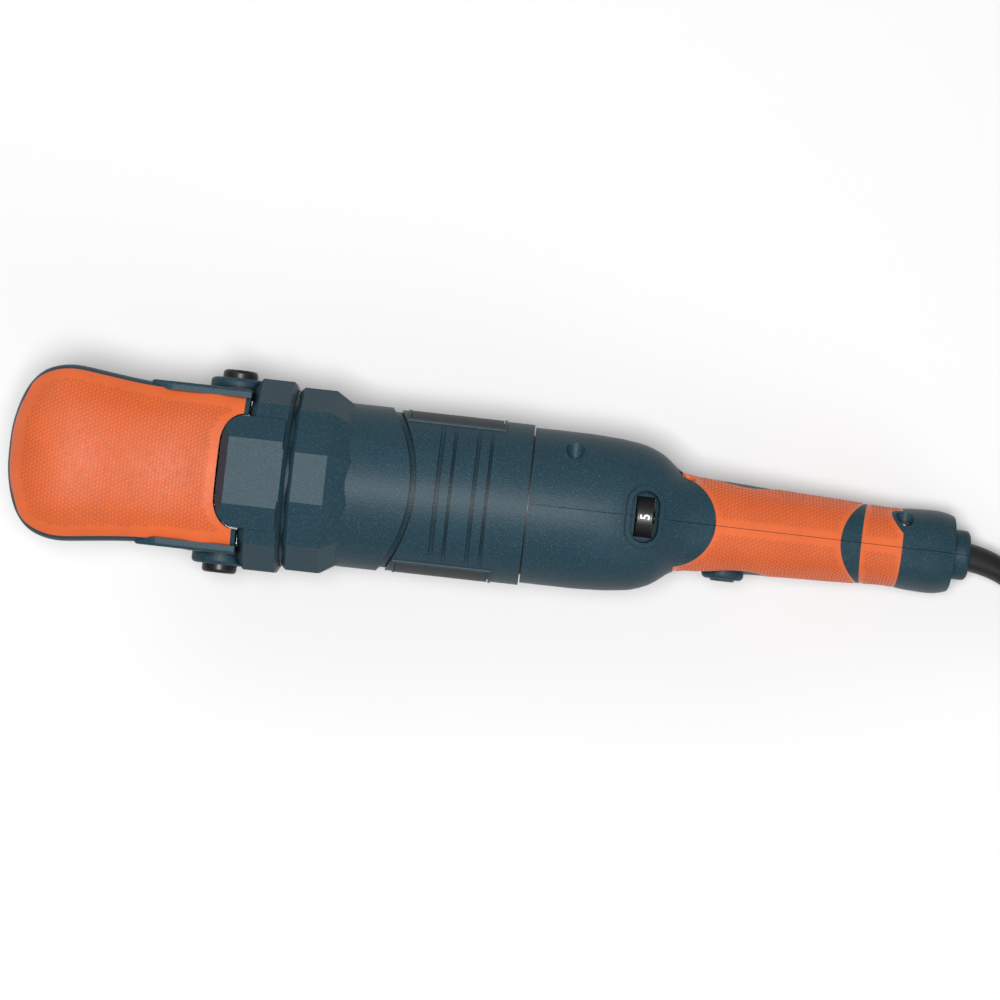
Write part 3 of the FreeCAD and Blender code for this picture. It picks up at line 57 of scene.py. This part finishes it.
# ---- the shared ways of making a material ----
class Finish:
    """One material: a Principled shader and the procedural nodes that feed it."""

    def __init__(self, name, **settings):
        self.material = bpy.data.materials.new(name)
        self.material.use_nodes = True
        tree = self.material.node_tree
        self.nodes = tree.nodes
        self.links = tree.links
        self.shader = tree.nodes["Principled BSDF"]
        self.place = tree.nodes.new("ShaderNodeTexCoord").outputs["Object"]
        self.normal = None
        for socket, value in settings.items():
            self.shader.inputs[socket.replace("_", " ")].default_value = value

    def add(self, kind, **inputs):
        node = self.nodes.new(kind)
        for socket, value in inputs.items():
            target = node.inputs[socket.replace("_", " ")]
            if isinstance(value, bpy.types.NodeSocket):
                self.links.new(value, target)
            else:
                target.default_value = value
        return node

    def stretched(self, x, y, z):
        node = self.nodes.new("ShaderNodeMapping")
        self.links.new(self.place, node.inputs["Vector"])
        node.inputs["Scale"].default_value = (x, y, z)
        return node.outputs["Vector"]

    def noise(self, size, detail=3.0, vector=None):
        """Soft noise with features about size across, from 0 to 1."""
        node = self.add("ShaderNodeTexNoise", Scale=1 / size, Detail=detail, Vector=vector or self.place)
        return node.outputs[0]

    def cells(self, size, vector=None):
        node = self.add("ShaderNodeTexVoronoi", Scale=1 / size, Vector=vector or self.place)
        return node.outputs["Distance"]

    def between(self, value, low, high, start=0.0, end=1.0):
        """Maps low..high of a value to start..end."""
        node = self.nodes.new("ShaderNodeMapRange")
        self.links.new(value, node.inputs["Value"])
        for socket, number in zip(("From Min", "From Max", "To Min", "To Max"), (low, high, start, end)):
            node.inputs[socket].default_value = number
        return node.outputs["Result"]

    def times(self, first, second):
        node = self.nodes.new("ShaderNodeMath")
        node.operation = "MULTIPLY"
        self.links.new(first, node.inputs[0])
        self.links.new(second, node.inputs[1])
        return node.outputs[0]

    def blend(self, share, first, second):
        """A colour between two, each a colour or a socket."""
        node = self.nodes.new("ShaderNodeMix")
        node.data_type = "RGBA"
        self.links.new(share, node.inputs["Factor"])
        for socket, colour in (("A", first), ("B", second)):
            target = [s for s in node.inputs if s.name == socket and s.type == "RGBA"][0]
            if isinstance(colour, bpy.types.NodeSocket):
                self.links.new(colour, target)
            else:
                target.default_value = (*colour, 1.0)
        return [s for s in node.outputs if s.type == "RGBA"][0]

    def edges(self, low, high):
        """How far a place is an outward edge, from the mesh's own curvature."""
        return self.between(self.nodes.new("ShaderNodeNewGeometry").outputs["Pointiness"], low, high)

    def hollows(self, size, most):
        """How much painted shade a place gets for lying in a groove or corner of about that size, up to
        the most given.
        """
        open_sky = self.add("ShaderNodeAmbientOcclusion", Distance=size).outputs["AO"]
        return self.between(open_sky, 0.45, 0.95, most, 0.0)

    def colour(self, socket):
        self.links.new(socket, self.shader.inputs["Base Color"])

    def roughness(self, value, low, high):
        self.links.new(self.between(value, 0.25, 0.75, low, high), self.shader.inputs["Roughness"])

    def bump(self, height, depth, strength=1.0):
        """Adds a bump of a depth in metres to what the surface already has."""
        node = self.add("ShaderNodeBump", Height=height, Distance=depth, Strength=strength)
        if self.normal is not None:
            self.links.new(self.normal, node.inputs["Normal"])
        self.normal = node.outputs["Normal"]
        self.links.new(self.normal, self.shader.inputs["Normal"])


def scaled(colour, share):
    """A colour made darker or lighter by a share."""
    return tuple(min(1.0, part * share) for part in colour)


def moulded(name, colour, grain, depth, rough, worn=(0.03, 0.05, 0.06), **settings):
    """Moulded plastic: an eroded grain with painted glints on its specks, faint patches, a few fine scuffs
    and painted shade in its grooves.
    """
    finish = Finish(name, **settings)
    patches = finish.noise(24 * MM)
    specks = finish.noise(grain * 1.2, 2.0)
    base = finish.blend(finish.between(patches, 0.3, 0.7), scaled(colour, 0.95), scaled(colour, 1.05))
    # painted glints: specks of the grain are lightened in colour, standing in for the light catching their
    # facets
    painted_glint = tuple(part * 1.4 + 0.030 for part in colour)
    base = finish.blend(finish.between(specks, 0.54, 0.74, 0.0, 0.7), base, painted_glint)
    scuffs = finish.noise(1.2 * MM, 2.0, finish.stretched(1.0, 9.0, 9.0))
    handled = finish.between(finish.noise(31 * MM), 0.56, 0.66)
    marks = finish.times(finish.between(scuffs, 0.72, 0.80), handled)
    base = finish.blend(marks, base, worn)
    # painted shade: grooves and corners within 3 mm are darkened almost to black, standing in for the
    # shade that falls in them
    finish.colour(finish.blend(finish.hollows(3.0 * MM, 0.85), base, scaled(colour, 0.15)))
    finish.roughness(specks, rough[0], rough[1])
    finish.bump(finish.cells(grain), depth)
    finish.bump(finish.noise(grain * 2.7, 2.0), depth * 1.4)
    return finish.material


def soft_touch(name, colour):
    """Soft overmould: a satin skin, a little darker where hands and dirt have been, with painted shade in
    the grooves between its studs.
    """
    finish = Finish(name, Sheen_Weight=0.12, Sheen_Roughness=0.5, Specular_IOR_Level=0.38)
    patches = finish.noise(17 * MM, 4.0)
    dirt = finish.noise(2.3 * MM, 4.0)
    base = finish.blend(finish.between(patches, 0.3, 0.7), scaled(colour, 0.93), scaled(colour, 1.06))
    base = finish.blend(finish.between(dirt, 0.58, 0.8, 0.0, 0.22), base, scaled(colour, 0.62))
    # painted shade: the grooves between the studs are darkened, standing in for the shade that falls in
    # them
    base = finish.blend(finish.hollows(0.7 * MM, 0.75), base, scaled(colour, 0.30))
    streaks = finish.noise(0.9 * MM, 1.0, finish.stretched(12.0, 1.0, 6.0))
    handled = finish.between(finish.noise(23 * MM), 0.56, 0.62)
    nicks = finish.times(finish.between(streaks, 0.74, 0.78), handled)
    finish.colour(finish.blend(nicks, base, (0.12, 0.035, 0.012)))
    finish.roughness(dirt, 0.50, 0.66)
    finish.bump(finish.noise(0.32 * MM, 2.0), 0.02 * MM)
    finish.bump(patches, 0.05 * MM)
    return finish.material


def glossy(name, colour, rough, grain=0.7 * MM):
    """Polished black plastic or vinyl: smudges in the gloss, faint flow marks."""
    finish = Finish(name, Coat_Weight=0.05, Coat_Roughness=0.3, Specular_IOR_Level=0.22)
    smudge = finish.noise(9 * MM, 4.0)
    dust = finish.noise(0.5 * MM, 2.0)
    base = finish.blend(finish.between(smudge, 0.3, 0.7), scaled(colour, 0.8), scaled(colour, 1.3))
    finish.colour(finish.blend(finish.between(dust, 0.70, 0.80, 0.0, 0.3), base, (0.10, 0.10, 0.10)))
    finish.roughness(smudge, rough[0], rough[1])
    finish.bump(finish.noise(grain, 2.0), 0.008 * MM)
    finish.bump(finish.noise(6 * MM), 0.06 * MM)
    return finish.material


def metal(name, colour, rough, grain, stretch=(1.0, 1.0, 1.0), depth=0.01 * MM, stain=(0.10, 0.08, 0.06)):
    """Worked metal: machining marks along one direction, handling stains, bright edges."""
    finish = Finish(name, Metallic=1.0)
    marks = finish.noise(grain, 3.0, finish.stretched(*stretch))
    patches = finish.noise(8 * MM, 4.0)
    base = finish.blend(finish.between(marks, 0.3, 0.7), scaled(colour, 0.85), scaled(colour, 1.12))
    base = finish.blend(finish.between(patches, 0.60, 0.80, 0.0, 0.35), base, stain)
    finish.colour(finish.blend(finish.edges(0.52, 0.60), base, scaled(colour, 1.4)))
    finish.roughness(patches, rough[0], rough[1])
    finish.bump(marks, depth)
    return finish.material


def striped(name, colour, dark, pitch, direction, rough, **settings):
    """Layers or wires side by side: sheets of a core, turns of a winding, bars of a commutator."""
    finish = Finish(name, **settings)
    wave = finish.add("ShaderNodeTexWave", Scale=TAU / 20 / pitch, Distortion=0.4, Detail=1.0,
                      Vector=finish.place)
    wave.bands_direction = direction
    lines = wave.outputs["Fac"]
    patches = finish.noise(5 * MM, 4.0)
    base = finish.blend(finish.between(patches, 0.3, 0.7), scaled(colour, 0.8), scaled(colour, 1.15))
    finish.colour(finish.blend(finish.between(lines, 0.0, 0.35, 0.75, 0.0), base, dark))
    finish.roughness(patches, rough[0], rough[1])
    finish.bump(lines, pitch * 0.3)
    return finish.material


# ---- the finishes, one for each of the record's slots ----
NAVY = (0.010, 0.030, 0.042)
ORANGE = (0.46, 0.078, 0.012)
BLACK = (0.007, 0.007, 0.008)
SCREW_GREY = (0.42, 0.43, 0.45)
STEEL = (0.56, 0.57, 0.58)


def make_finishes():
    return {
        "navy_plastic": moulded("navy_plastic", NAVY, 0.55 * MM, 0.055 * MM, (0.38, 0.54),
                                Specular_IOR_Level=0.14),
        "orange_rubber": soft_touch("orange_rubber", ORANGE),
        "black_gloss": glossy("black_gloss", BLACK, (0.30, 0.44)),
        "black_rubber": glossy("black_rubber", scaled(BLACK, 1.2), (0.34, 0.48), 0.4 * MM),
        "black_plastic": moulded("black_plastic", (0.022, 0.022, 0.024), 0.5 * MM, 0.04 * MM, (0.38, 0.52),
                                 (0.09, 0.09, 0.09)),
        "cast_aluminium": metal("cast_aluminium", (0.36, 0.365, 0.37), (0.45, 0.62), 0.5 * MM,
                                depth=0.06 * MM),
        "steel": metal("steel", STEEL, (0.20, 0.34), 0.25 * MM, (1.0, 1.0, 6.0)),
        "zinc_screw": metal("zinc_screw", SCREW_GREY, (0.30, 0.44), 0.3 * MM),
        "black_screw": metal("black_screw", (0.06, 0.06, 0.065), (0.34, 0.48), 0.3 * MM),
        "gear_steel": metal("gear_steel", (0.38, 0.38, 0.40), (0.16, 0.34), 0.3 * MM,
                            stain=(0.16, 0.09, 0.03)),
        "laminations": striped("laminations", (0.30, 0.30, 0.32), (0.06, 0.055, 0.05), 0.65 * MM, "X",
                               (0.35, 0.5), Metallic=0.8),
        "copper": striped("copper", (0.55, 0.19, 0.07), (0.10, 0.03, 0.015), 0.6 * MM, "Z", (0.22, 0.36),
                          Metallic=0.7, Coat_Weight=0.4),
        "commutator_copper": metal("commutator_copper", (0.75, 0.42, 0.25), (0.22, 0.4), 0.2 * MM,
                                   (8.0, 1.0, 1.0)),
        "brass": metal("brass", (0.72, 0.55, 0.25), (0.22, 0.36), 0.3 * MM, (1.0, 6.0, 1.0)),
        "carbon": moulded("carbon", (0.035, 0.035, 0.038), 0.25 * MM, 0.03 * MM, (0.5, 0.65),
                          (0.1, 0.1, 0.1)),
        "bush_bronze": metal("bush_bronze", (0.50, 0.31, 0.15), (0.38, 0.52), 0.2 * MM, depth=0.03 * MM),
        "fibre_plastic": moulded("fibre_plastic", (0.050, 0.046, 0.042), 0.7 * MM, 0.03 * MM, (0.45, 0.6),
                                 (0.12, 0.11, 0.10)),
        "grey_plastic": moulded("grey_plastic", (0.24, 0.25, 0.26), 0.5 * MM, 0.03 * MM, (0.4, 0.55),
                                (0.42, 0.43, 0.44)),
        "label_plate": moulded("label_plate", (0.012, 0.014, 0.016), 0.25 * MM, 0.012 * MM, (0.50, 0.62),
                               (0.05, 0.05, 0.055), Specular_IOR_Level=0.2),
    }


def white_print():
    """Pad-printed ink, a little worn."""
    finish = Finish("white_print", Specular_IOR_Level=0.4)
    worn = finish.noise(0.6 * MM, 3.0)
    finish.colour(finish.blend(finish.between(worn, 0.55, 0.8), (0.86, 0.87, 0.86), (0.55, 0.56, 0.56)))
    finish.roughness(worn, 0.35, 0.5)
    finish.bump(worn, 0.01 * MM)
    return finish.material


def floor_finish():
    finish = Finish("studio_floor", Specular_IOR_Level=0.2)
    cloud = finish.noise(0.4)
    finish.colour(finish.blend(cloud, (0.54, 0.54, 0.54), (0.56, 0.56, 0.56)))
    finish.roughness(cloud, 0.7, 0.8)
    return finish.material


finishes = make_finishes()
for subpart in frame["record"]["subparts"]:
    node = nodes[subpart["node"]]
    if not node.material_slots:
        node.data.materials.append(None)
    for place in node.material_slots:
        place.material = finishes[subpart["material_slot"]]


def piece(name, points, faces, slot, body, smooth=False, material=None):
    """Makes a mesh piece that rides on a body and takes its finish from a slot."""
    mesh = bpy.data.meshes.new(name)
    mesh.from_pydata(points, [], faces)
    mesh.validate()
    mesh.polygons.foreach_set("use_smooth", [smooth] * len(mesh.polygons))
    mesh.materials.append(material or finishes[slot])
    made = bpy.data.objects.new(name, mesh)
    bpy.context.scene.collection.objects.link(made)
    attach(made, body)
    return made


# ---- camera, light and floor ----
AXIS_Z = 76 * MM
VIEW_CENTRE = (0.1492, 0.0009)
VIEW_DISTANCE = 1.8
VIEW_WIDTH = 0.472  # what the frame shows at the height of the motor axis
VIEW_TURN = math.radians(6.4)
VIEW_TILT = math.radians(1.0)
SENSOR = 36.0
FLOOR_HALF = 3.0
LIT_PLACE = (0.16, 0.0, 0.08)
WORLD_STRENGTH = 0.30


def add_camera():
    """A long lens almost straight above the machine, turned a little."""
    data = bpy.data.cameras.new("photo_camera")
    data.sensor_width = SENSOR
    data.lens = SENSOR * VIEW_DISTANCE / VIEW_WIDTH
    camera = bpy.data.objects.new("photo_camera", data)
    back = VIEW_DISTANCE * math.sin(VIEW_TILT)
    camera.location = (
        VIEW_CENTRE[0] + back * math.sin(VIEW_TURN),
        VIEW_CENTRE[1] - back * math.cos(VIEW_TURN),
        AXIS_Z + VIEW_DISTANCE * math.cos(VIEW_TILT),
    )
    camera.rotation_euler = (VIEW_TILT, 0.0, VIEW_TURN)
    bpy.context.scene.collection.objects.link(camera)
    bpy.context.scene.camera = camera


def add_light(name, place, target, size, power):
    data = bpy.data.lights.new(name, "AREA")
    data.shape = "RECTANGLE"
    data.size, data.size_y = size
    data.energy = power
    lamp = bpy.data.objects.new(name, data)
    lamp.location = place
    lamp.rotation_euler = (Vector(target) - Vector(place)).to_track_quat("-Z", "Y").to_euler()
    bpy.context.scene.collection.objects.link(lamp)


def add_surroundings():
    """A pale floor under one strong overhead flash and two weak side banks."""
    world = bpy.data.worlds.new("studio")
    world.use_nodes = True
    world.node_tree.nodes["Background"].inputs["Color"].default_value = (1.0, 1.0, 1.0, 1.0)
    world.node_tree.nodes["Background"].inputs["Strength"].default_value = WORLD_STRENGTH
    bpy.context.scene.world = world
    bpy.context.scene.view_settings.view_transform = "Standard"
    half = FLOOR_HALF
    mesh = bpy.data.meshes.new("floor")
    corners = [(-half, -half, 0), (half, -half, 0), (half, half, 0), (-half, half, 0)]
    mesh.from_pydata(corners, [], [(0, 1, 2, 3)])
    mesh.materials.append(floor_finish())
    floor = bpy.data.objects.new("floor", mesh)
    bpy.context.scene.collection.objects.link(floor)
    add_light("flash", (0.10, -0.12, 2.15), LIT_PLACE, (0.5, 0.5), 62.0)
    add_light("left_bank", (-0.9, 0.9, 1.3), LIT_PLACE, (1.0, 0.8), 7.0)
    add_light("right_bank", (1.1, -0.9, 1.1), LIT_PLACE, (1.0, 0.8), 5.0)


add_camera()
add_surroundings()


# ---- mains lead ----
CORD_R = 4 * MM
CORD_SKIN = 0.99  # drawn a hair thinner, clear of the sleeve it leaves through
CORD_ROUTE = (
    (0.4099, -0.01405, 0.01865),
    (0.4224, -0.0225, 0.0112),
    (0.4346, -0.0303, 0.0056),
    (0.4480, -0.0385, 0.0040),
)
COIL_CENTRE = (0.4919, 0.00465)
COIL_R = (36 * MM, 60 * MM)
COIL_START = math.radians(237.7)
COIL_LAYERS = 3
CLIMB = 0.34  # the part of the last turn that rises to the plug
PLUG_ENTRY = (0.5269, -0.00335, 0.0406)
PLUG_RUN = (-6 * MM, 4 * MM)  # the straight stretch of lead, before and inside the plug
STEPS_A_TURN = 16


def smooth(share):
    share = min(1.0, max(0.0, share))
    return share * share * (3 - 2 * share)


def coil_place(turned):
    """Radius and height of the lead after so many turns: in and out again, layer upon layer."""
    inner, outer = COIL_R
    turns_a_layer = (outer - inner) / (2 * CORD_R)
    layer, share = divmod(turned / turns_a_layer, 1.0)
    radius = outer - share * (outer - inner) if layer % 2 == 0 else inner + share * (outer - inner)
    height = CORD_R
    for i in range(1, COIL_LAYERS + 1):
        height += 2 * CORD_R * smooth((turned - i * turns_a_layer) * 4 + 0.5)
    return radius, height


def coil_points():
    """Control points of the coil, up to where the lead enters the plug."""
    inner, outer = COIL_R
    entry = Vector(PLUG_ENTRY[:2]) - Vector(COIL_CENTRE)
    entry_angle = math.atan2(entry.y, entry.x)
    layers_end = COIL_LAYERS * (outer - inner) / (2 * CORD_R)
    whole = layers_end + 1 + ((entry_angle - COIL_START) / TAU - layers_end) % 1.0
    widening = 1 / math.cos(math.pi / STEPS_A_TURN)
    points = []
    turned = 0.5 / STEPS_A_TURN
    while turned < whole - 0.4 / STEPS_A_TURN:
        radius, height = coil_place(turned)
        share = (turned - (whole - CLIMB)) / CLIMB
        radius += (entry.length - radius) * smooth((share - 0.35) / 0.65)
        height += (PLUG_ENTRY[2] - height) * smooth(share * 1.2)
        angle = COIL_START + TAU * turned
        reach = radius * widening
        x, y = COIL_CENTRE[0] + reach * math.cos(angle), COIL_CENTRE[1] + reach * math.sin(angle)
        points.append((x, y, height))
        turned += 1 / STEPS_A_TURN
    points += [(PLUG_ENTRY[0], PLUG_ENTRY[1] + run, PLUG_ENTRY[2]) for run in PLUG_RUN]
    return points


def spline_curve(name, points):
    """A smooth curve that starts and ends at its end points."""
    data = bpy.data.curves.new(name, "CURVE")
    data.dimensions = "3D"
    spline = data.splines.new("NURBS")
    spline.points.add(len(points) - 1)
    for control, point in zip(spline.points, points):
        control.co = (*point, 1.0)
    spline.order_u = 3
    spline.use_endpoint_u = True
    spline.resolution_u = 6
    made = bpy.data.objects.new(name, data)
    bpy.context.scene.collection.objects.link(made)
    return made


def line_length(curve):
    mesh = bpy.data.meshes.new_from_object(curve)
    points = [v.co.copy() for v in mesh.vertices]
    bpy.data.meshes.remove(mesh)
    return sum((b - a).length for a, b in zip(points, points[1:]))


def mains_lead():
    """The whole lead as one piece, from the strain relief to the plug."""
    lead = spline_curve("mains_lead", list(CORD_ROUTE) + coil_points())
    length = line_length(lead)
    lead.data.bevel_depth = CORD_R * CORD_SKIN
    lead.data.bevel_resolution = 5
    lead.data.use_fill_caps = True
    lead.data.materials.append(finishes["black_rubber"])
    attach(lead, "root")
    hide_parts("power_cord", "cord_coil")


mains_lead()


# ---- diamond texture of the grips ----
CELL_LONG = 3.3 * MM
CELL_SHORT = 2.0 * MM
GROOVE = 0.38 * MM
GROOVE_SLANT = 1.9  # how much wider the groove is measured along a cell's long way
STUD_RISE = 0.28 * MM
STUD_SINK = 0.16 * MM
STUD_TOP = 0.74  # size of a diamond's top against its foot
HOOD_BORDER = (5.2 * MM, 4.6 * MM)
REAR_BORDER = 2.2 * MM


class Skin:
    """Finds the outer surface of some CAD nodes and says which of them a ray meets first."""

    def __init__(self, *names):
        points, faces, self.owners = [], [], []
        for name in names:
            mesh = nodes[name].data
            start = len(points)
            points += [v.co.copy() for v in mesh.vertices]
            faces += [[start + i for i in p.vertices] for p in mesh.polygons]
            self.owners += [name] * len(mesh.polygons)
        self.tree = BVHTree.FromPolygons(points, faces)

    def hit(self, start, towards, wanted):
        point, normal, index, _ = self.tree.ray_cast(start, towards)
        if point is None or self.owners[index] not in wanted:
            return None
        return point, normal if normal.dot(towards) < 0 else -normal


def studs(name, surface, rows, columns, row_step, column_step, border, body="root"):
    """Raised diamonds on every cell whose surroundings, out to the border, are all skin."""
    points, faces = [], []
    for row in range(rows):
        for column in range(columns):
            u = (column + 0.5 * (row % 2)) * column_step
            v = row * row_step / 2
            around = [(u + border[0], v), (u - border[0], v), (u, v + border[1]), (u, v - border[1])]
            if any(surface(*spot) is None for spot in around):
                continue
            half_u = column_step / 2 * (1 - GROOVE / CELL_LONG * GROOVE_SLANT)
            half_v = row_step / 2 * (1 - GROOVE / CELL_SHORT)
            corners = []
            for share, rise in ((1.0, -STUD_SINK), (STUD_TOP, STUD_RISE)):
                for du, dv in ((half_u, 0), (0, half_v), (-half_u, 0), (0, -half_v)):
                    found = surface(u + du * share, v + dv * share)
                    if found is None:
                        break
                    corners.append(found[0] + found[1] * rise)
            if len(corners) < 8:
                continue
            n = len(points)
            points += corners
            sides = [(n + i, n + (i + 1) % 4, n + 4 + (i + 1) % 4, n + 4 + i) for i in range(4)]
            faces += [(n + 3, n + 2, n + 1, n), (n + 4, n + 5, n + 6, n + 7)] + sides
    return piece(name, points, faces, "orange_rubber", body)


def hood_texture():
    """Diamonds on the pad of the hood handle, found by looking straight down on it."""
    skin = Skin("hood_handle_grip", "hood_handle_core")
    low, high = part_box("hood_handle_grip")
    rows = int((high.y - low.y) / CELL_SHORT * 2) + 2
    columns = int((high.x - low.x) / CELL_LONG) + 2
    above = high.z + 0.02
    middle = math.floor((high.y - low.y) / CELL_SHORT) * CELL_SHORT / 2

    def surface(u, v):
        return skin.hit(Vector((low.x + u, v - middle, above)), Vector((0, 0, -1)), ("hood_handle_grip",))

    studs("hood_grip_studs", surface, rows, columns, CELL_SHORT, CELL_LONG, HOOD_BORDER)


GRIP_STUDS_ROUND = 66
SEAM_BAND = 2.3 * MM


def rear_texture():
    """Diamonds round the rear handle's pads, found by looking inwards at its middle line."""
    grips = ("rear_grip_left", "rear_grip_right")
    skin = Skin(*grips, "rear_housing_left", "rear_housing_right", "speed_dial")
    low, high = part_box("rear_grip_left")
    reach = 0.08
    heights = {}

    def middle_of(x):
        key = round(x, 5)
        if key not in heights:
            top = skin.tree.ray_cast(Vector((x, 0.001, 0.3)), Vector((0, 0, -1)))[0]
            bottom = skin.tree.ray_cast(Vector((x, 0.010, -0.1)), Vector((0, 0, 1)))[0]
            heights[key] = (top.z + bottom.z) / 2 if top and bottom else 0.0
        return heights[key]

    def surface(u, v):
        x = low.x + u
        out = Vector((0, math.cos(v), math.sin(v)))
        found = skin.hit(Vector((x, 0, middle_of(x))) + out * reach, -out, grips)
        if found is None or abs(found[0].y) < SEAM_BAND:
            return None
        return found

    columns = int((high.x - low.x) / CELL_LONG) + 1
    step = TAU / GRIP_STUDS_ROUND
    studs("rear_grip_studs", surface, 2 * GRIP_STUDS_ROUND, columns, step, CELL_LONG,
          (REAR_BORDER, step * 0.6))


hood_texture()
rear_texture()


# ---- spindle with its M14 thread ----
THREAD_R = 7.0 * MM
THREAD_DEPTH = 1.23 * MM
THREAD_PITCH = 2.0 * MM
THREAD_LENGTH = 18.0 * MM
THREAD_FLATS = (0.12, 0.72)  # the crest's share of the pitch and the flanks'
THREAD_LEAD_IN = 1.3 * MM
RELIEF_START = 16.4 * MM
RELIEF_RUN = 0.8 * MM
COLLAR_Z = (18.0, 22.5)
SPINDLE_PROFILE = ((11.0, COLLAR_Z[0]), (11.0, COLLAR_Z[1]), (9.0, COLLAR_Z[1]), (9.0, 27.0), (7.5, 27.0),
                   (7.5, 38.0), (7.98, 38.6), (7.98, 46.5), (6.0, 47.5), (6.0, 87.4), (5.4, 88.0))
FLAT_HALF = 8.5 * MM
SPINDLE_SIDES = 72
LEVELS_A_MM = 8


def thread_radius(angle, height):
    """The thread's outline, running out at the tip and in the relief under the shoulder."""
    turn = (height / THREAD_PITCH - angle / TAU) % 1.0
    ridge = min(1.0, max(0.0, (abs(turn - 0.5) * 2 - THREAD_FLATS[0]) / THREAD_FLATS[1]))
    depth = THREAD_DEPTH * ridge
    chamfer = max(0.0, THREAD_LEAD_IN - height)
    relief = THREAD_DEPTH * smooth((height - RELIEF_START) / RELIEF_RUN)
    return min(THREAD_R - max(depth, relief), THREAD_R - chamfer)


def threaded_spindle():
    """The spindle turned to its profile, with a real thread and two flats on its collar."""
    around = SPINDLE_SIDES
    points, faces = [], []
    levels = [i / LEVELS_A_MM * MM for i in range(int(THREAD_LENGTH / MM) * LEVELS_A_MM + 1)]
    rings = [[(thread_radius(TAU * k / around, z), z) for k in range(around)] for z in levels]
    rings += [[(r * MM, z * MM)] * around for r, z in SPINDLE_PROFILE]
    for ring in rings:
        for k, (radius, height) in enumerate(ring):
            x, y = radius * math.cos(TAU * k / around), radius * math.sin(TAU * k / around)
            if COLLAR_Z[0] * MM - 1e-6 < height < COLLAR_Z[1] * MM + 1e-6:
                y = max(-FLAT_HALF, min(FLAT_HALF, y))
            points.append((x, y, height))
    for i in range(len(rings) - 1):
        for k in range(around):
            a, b = i * around + k, i * around + (k + 1) % around
            faces.append((a, b, b + around, a + around))
    for ring, height, flip in ((0, 0.0, True), (len(rings) - 1, SPINDLE_PROFILE[-1][1] * MM, False)):
        centre = len(points)
        points.append((0, 0, height))
        for k in range(around):
            a, b = ring * around + k, ring * around + (k + 1) % around
            faces.append((centre, b, a) if flip else (centre, a, b))
    made = piece("threaded_spindle", points, faces, "steel", "spindle")
    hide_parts("spindle")


threaded_spindle()


# ---- figures on the dial ----
DIAL_R = 12.0 * MM
DIAL_AT = (0.217, 0.095)
FIGURE_HEIGHT = 4.6 * MM
FONT_RATIO = 1.36  # the font's size against the height of its figures
FIGURE_NARROWING = 0.92
FIGURE_AT_REST = 5
FIGURE_STEP = math.radians(60)
FIGURE_RISE = 0.10 * MM


def dial_figures():
    """The figures 1 to 6 wrapped on the thumbwheel, with the fifth on top at rest."""
    ink = white_print()
    for figure in range(1, 7):
        text = bpy.data.curves.new(f"figure_{figure}", "FONT")
        text.body = str(figure)
        text.size = FIGURE_HEIGHT * FONT_RATIO
        text.extrude = 1.0
        holder = bpy.data.objects.new(f"figure_text_{figure}", text)
        bpy.context.scene.collection.objects.link(holder)
        bpy.context.view_layer.update()
        mesh = bpy.data.meshes.new_from_object(holder)
        bpy.data.objects.remove(holder)
        xs = [v.co.x for v in mesh.vertices]
        ys = [v.co.y for v in mesh.vertices]
        across, up = (max(xs) + min(xs)) / 2, (max(ys) + min(ys)) / 2
        for v in mesh.vertices:
            radius = DIAL_R + (FIGURE_RISE if v.co.z > 0 else -FIGURE_RISE)
            wrapped = (v.co.x - across) * FIGURE_NARROWING / DIAL_R
            angle = wrapped + FIGURE_STEP * (figure - FIGURE_AT_REST)
            along = DIAL_AT[0] - (v.co.y - up)
            v.co = (along, radius * math.sin(angle), DIAL_AT[1] + radius * math.cos(angle))
        mesh.materials.clear()
        mesh.materials.append(ink)
        made = bpy.data.objects.new(f"dial_figure_{figure}", mesh)
        bpy.context.scene.collection.objects.link(made)
        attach(made, "speed_dial")


dial_figures()
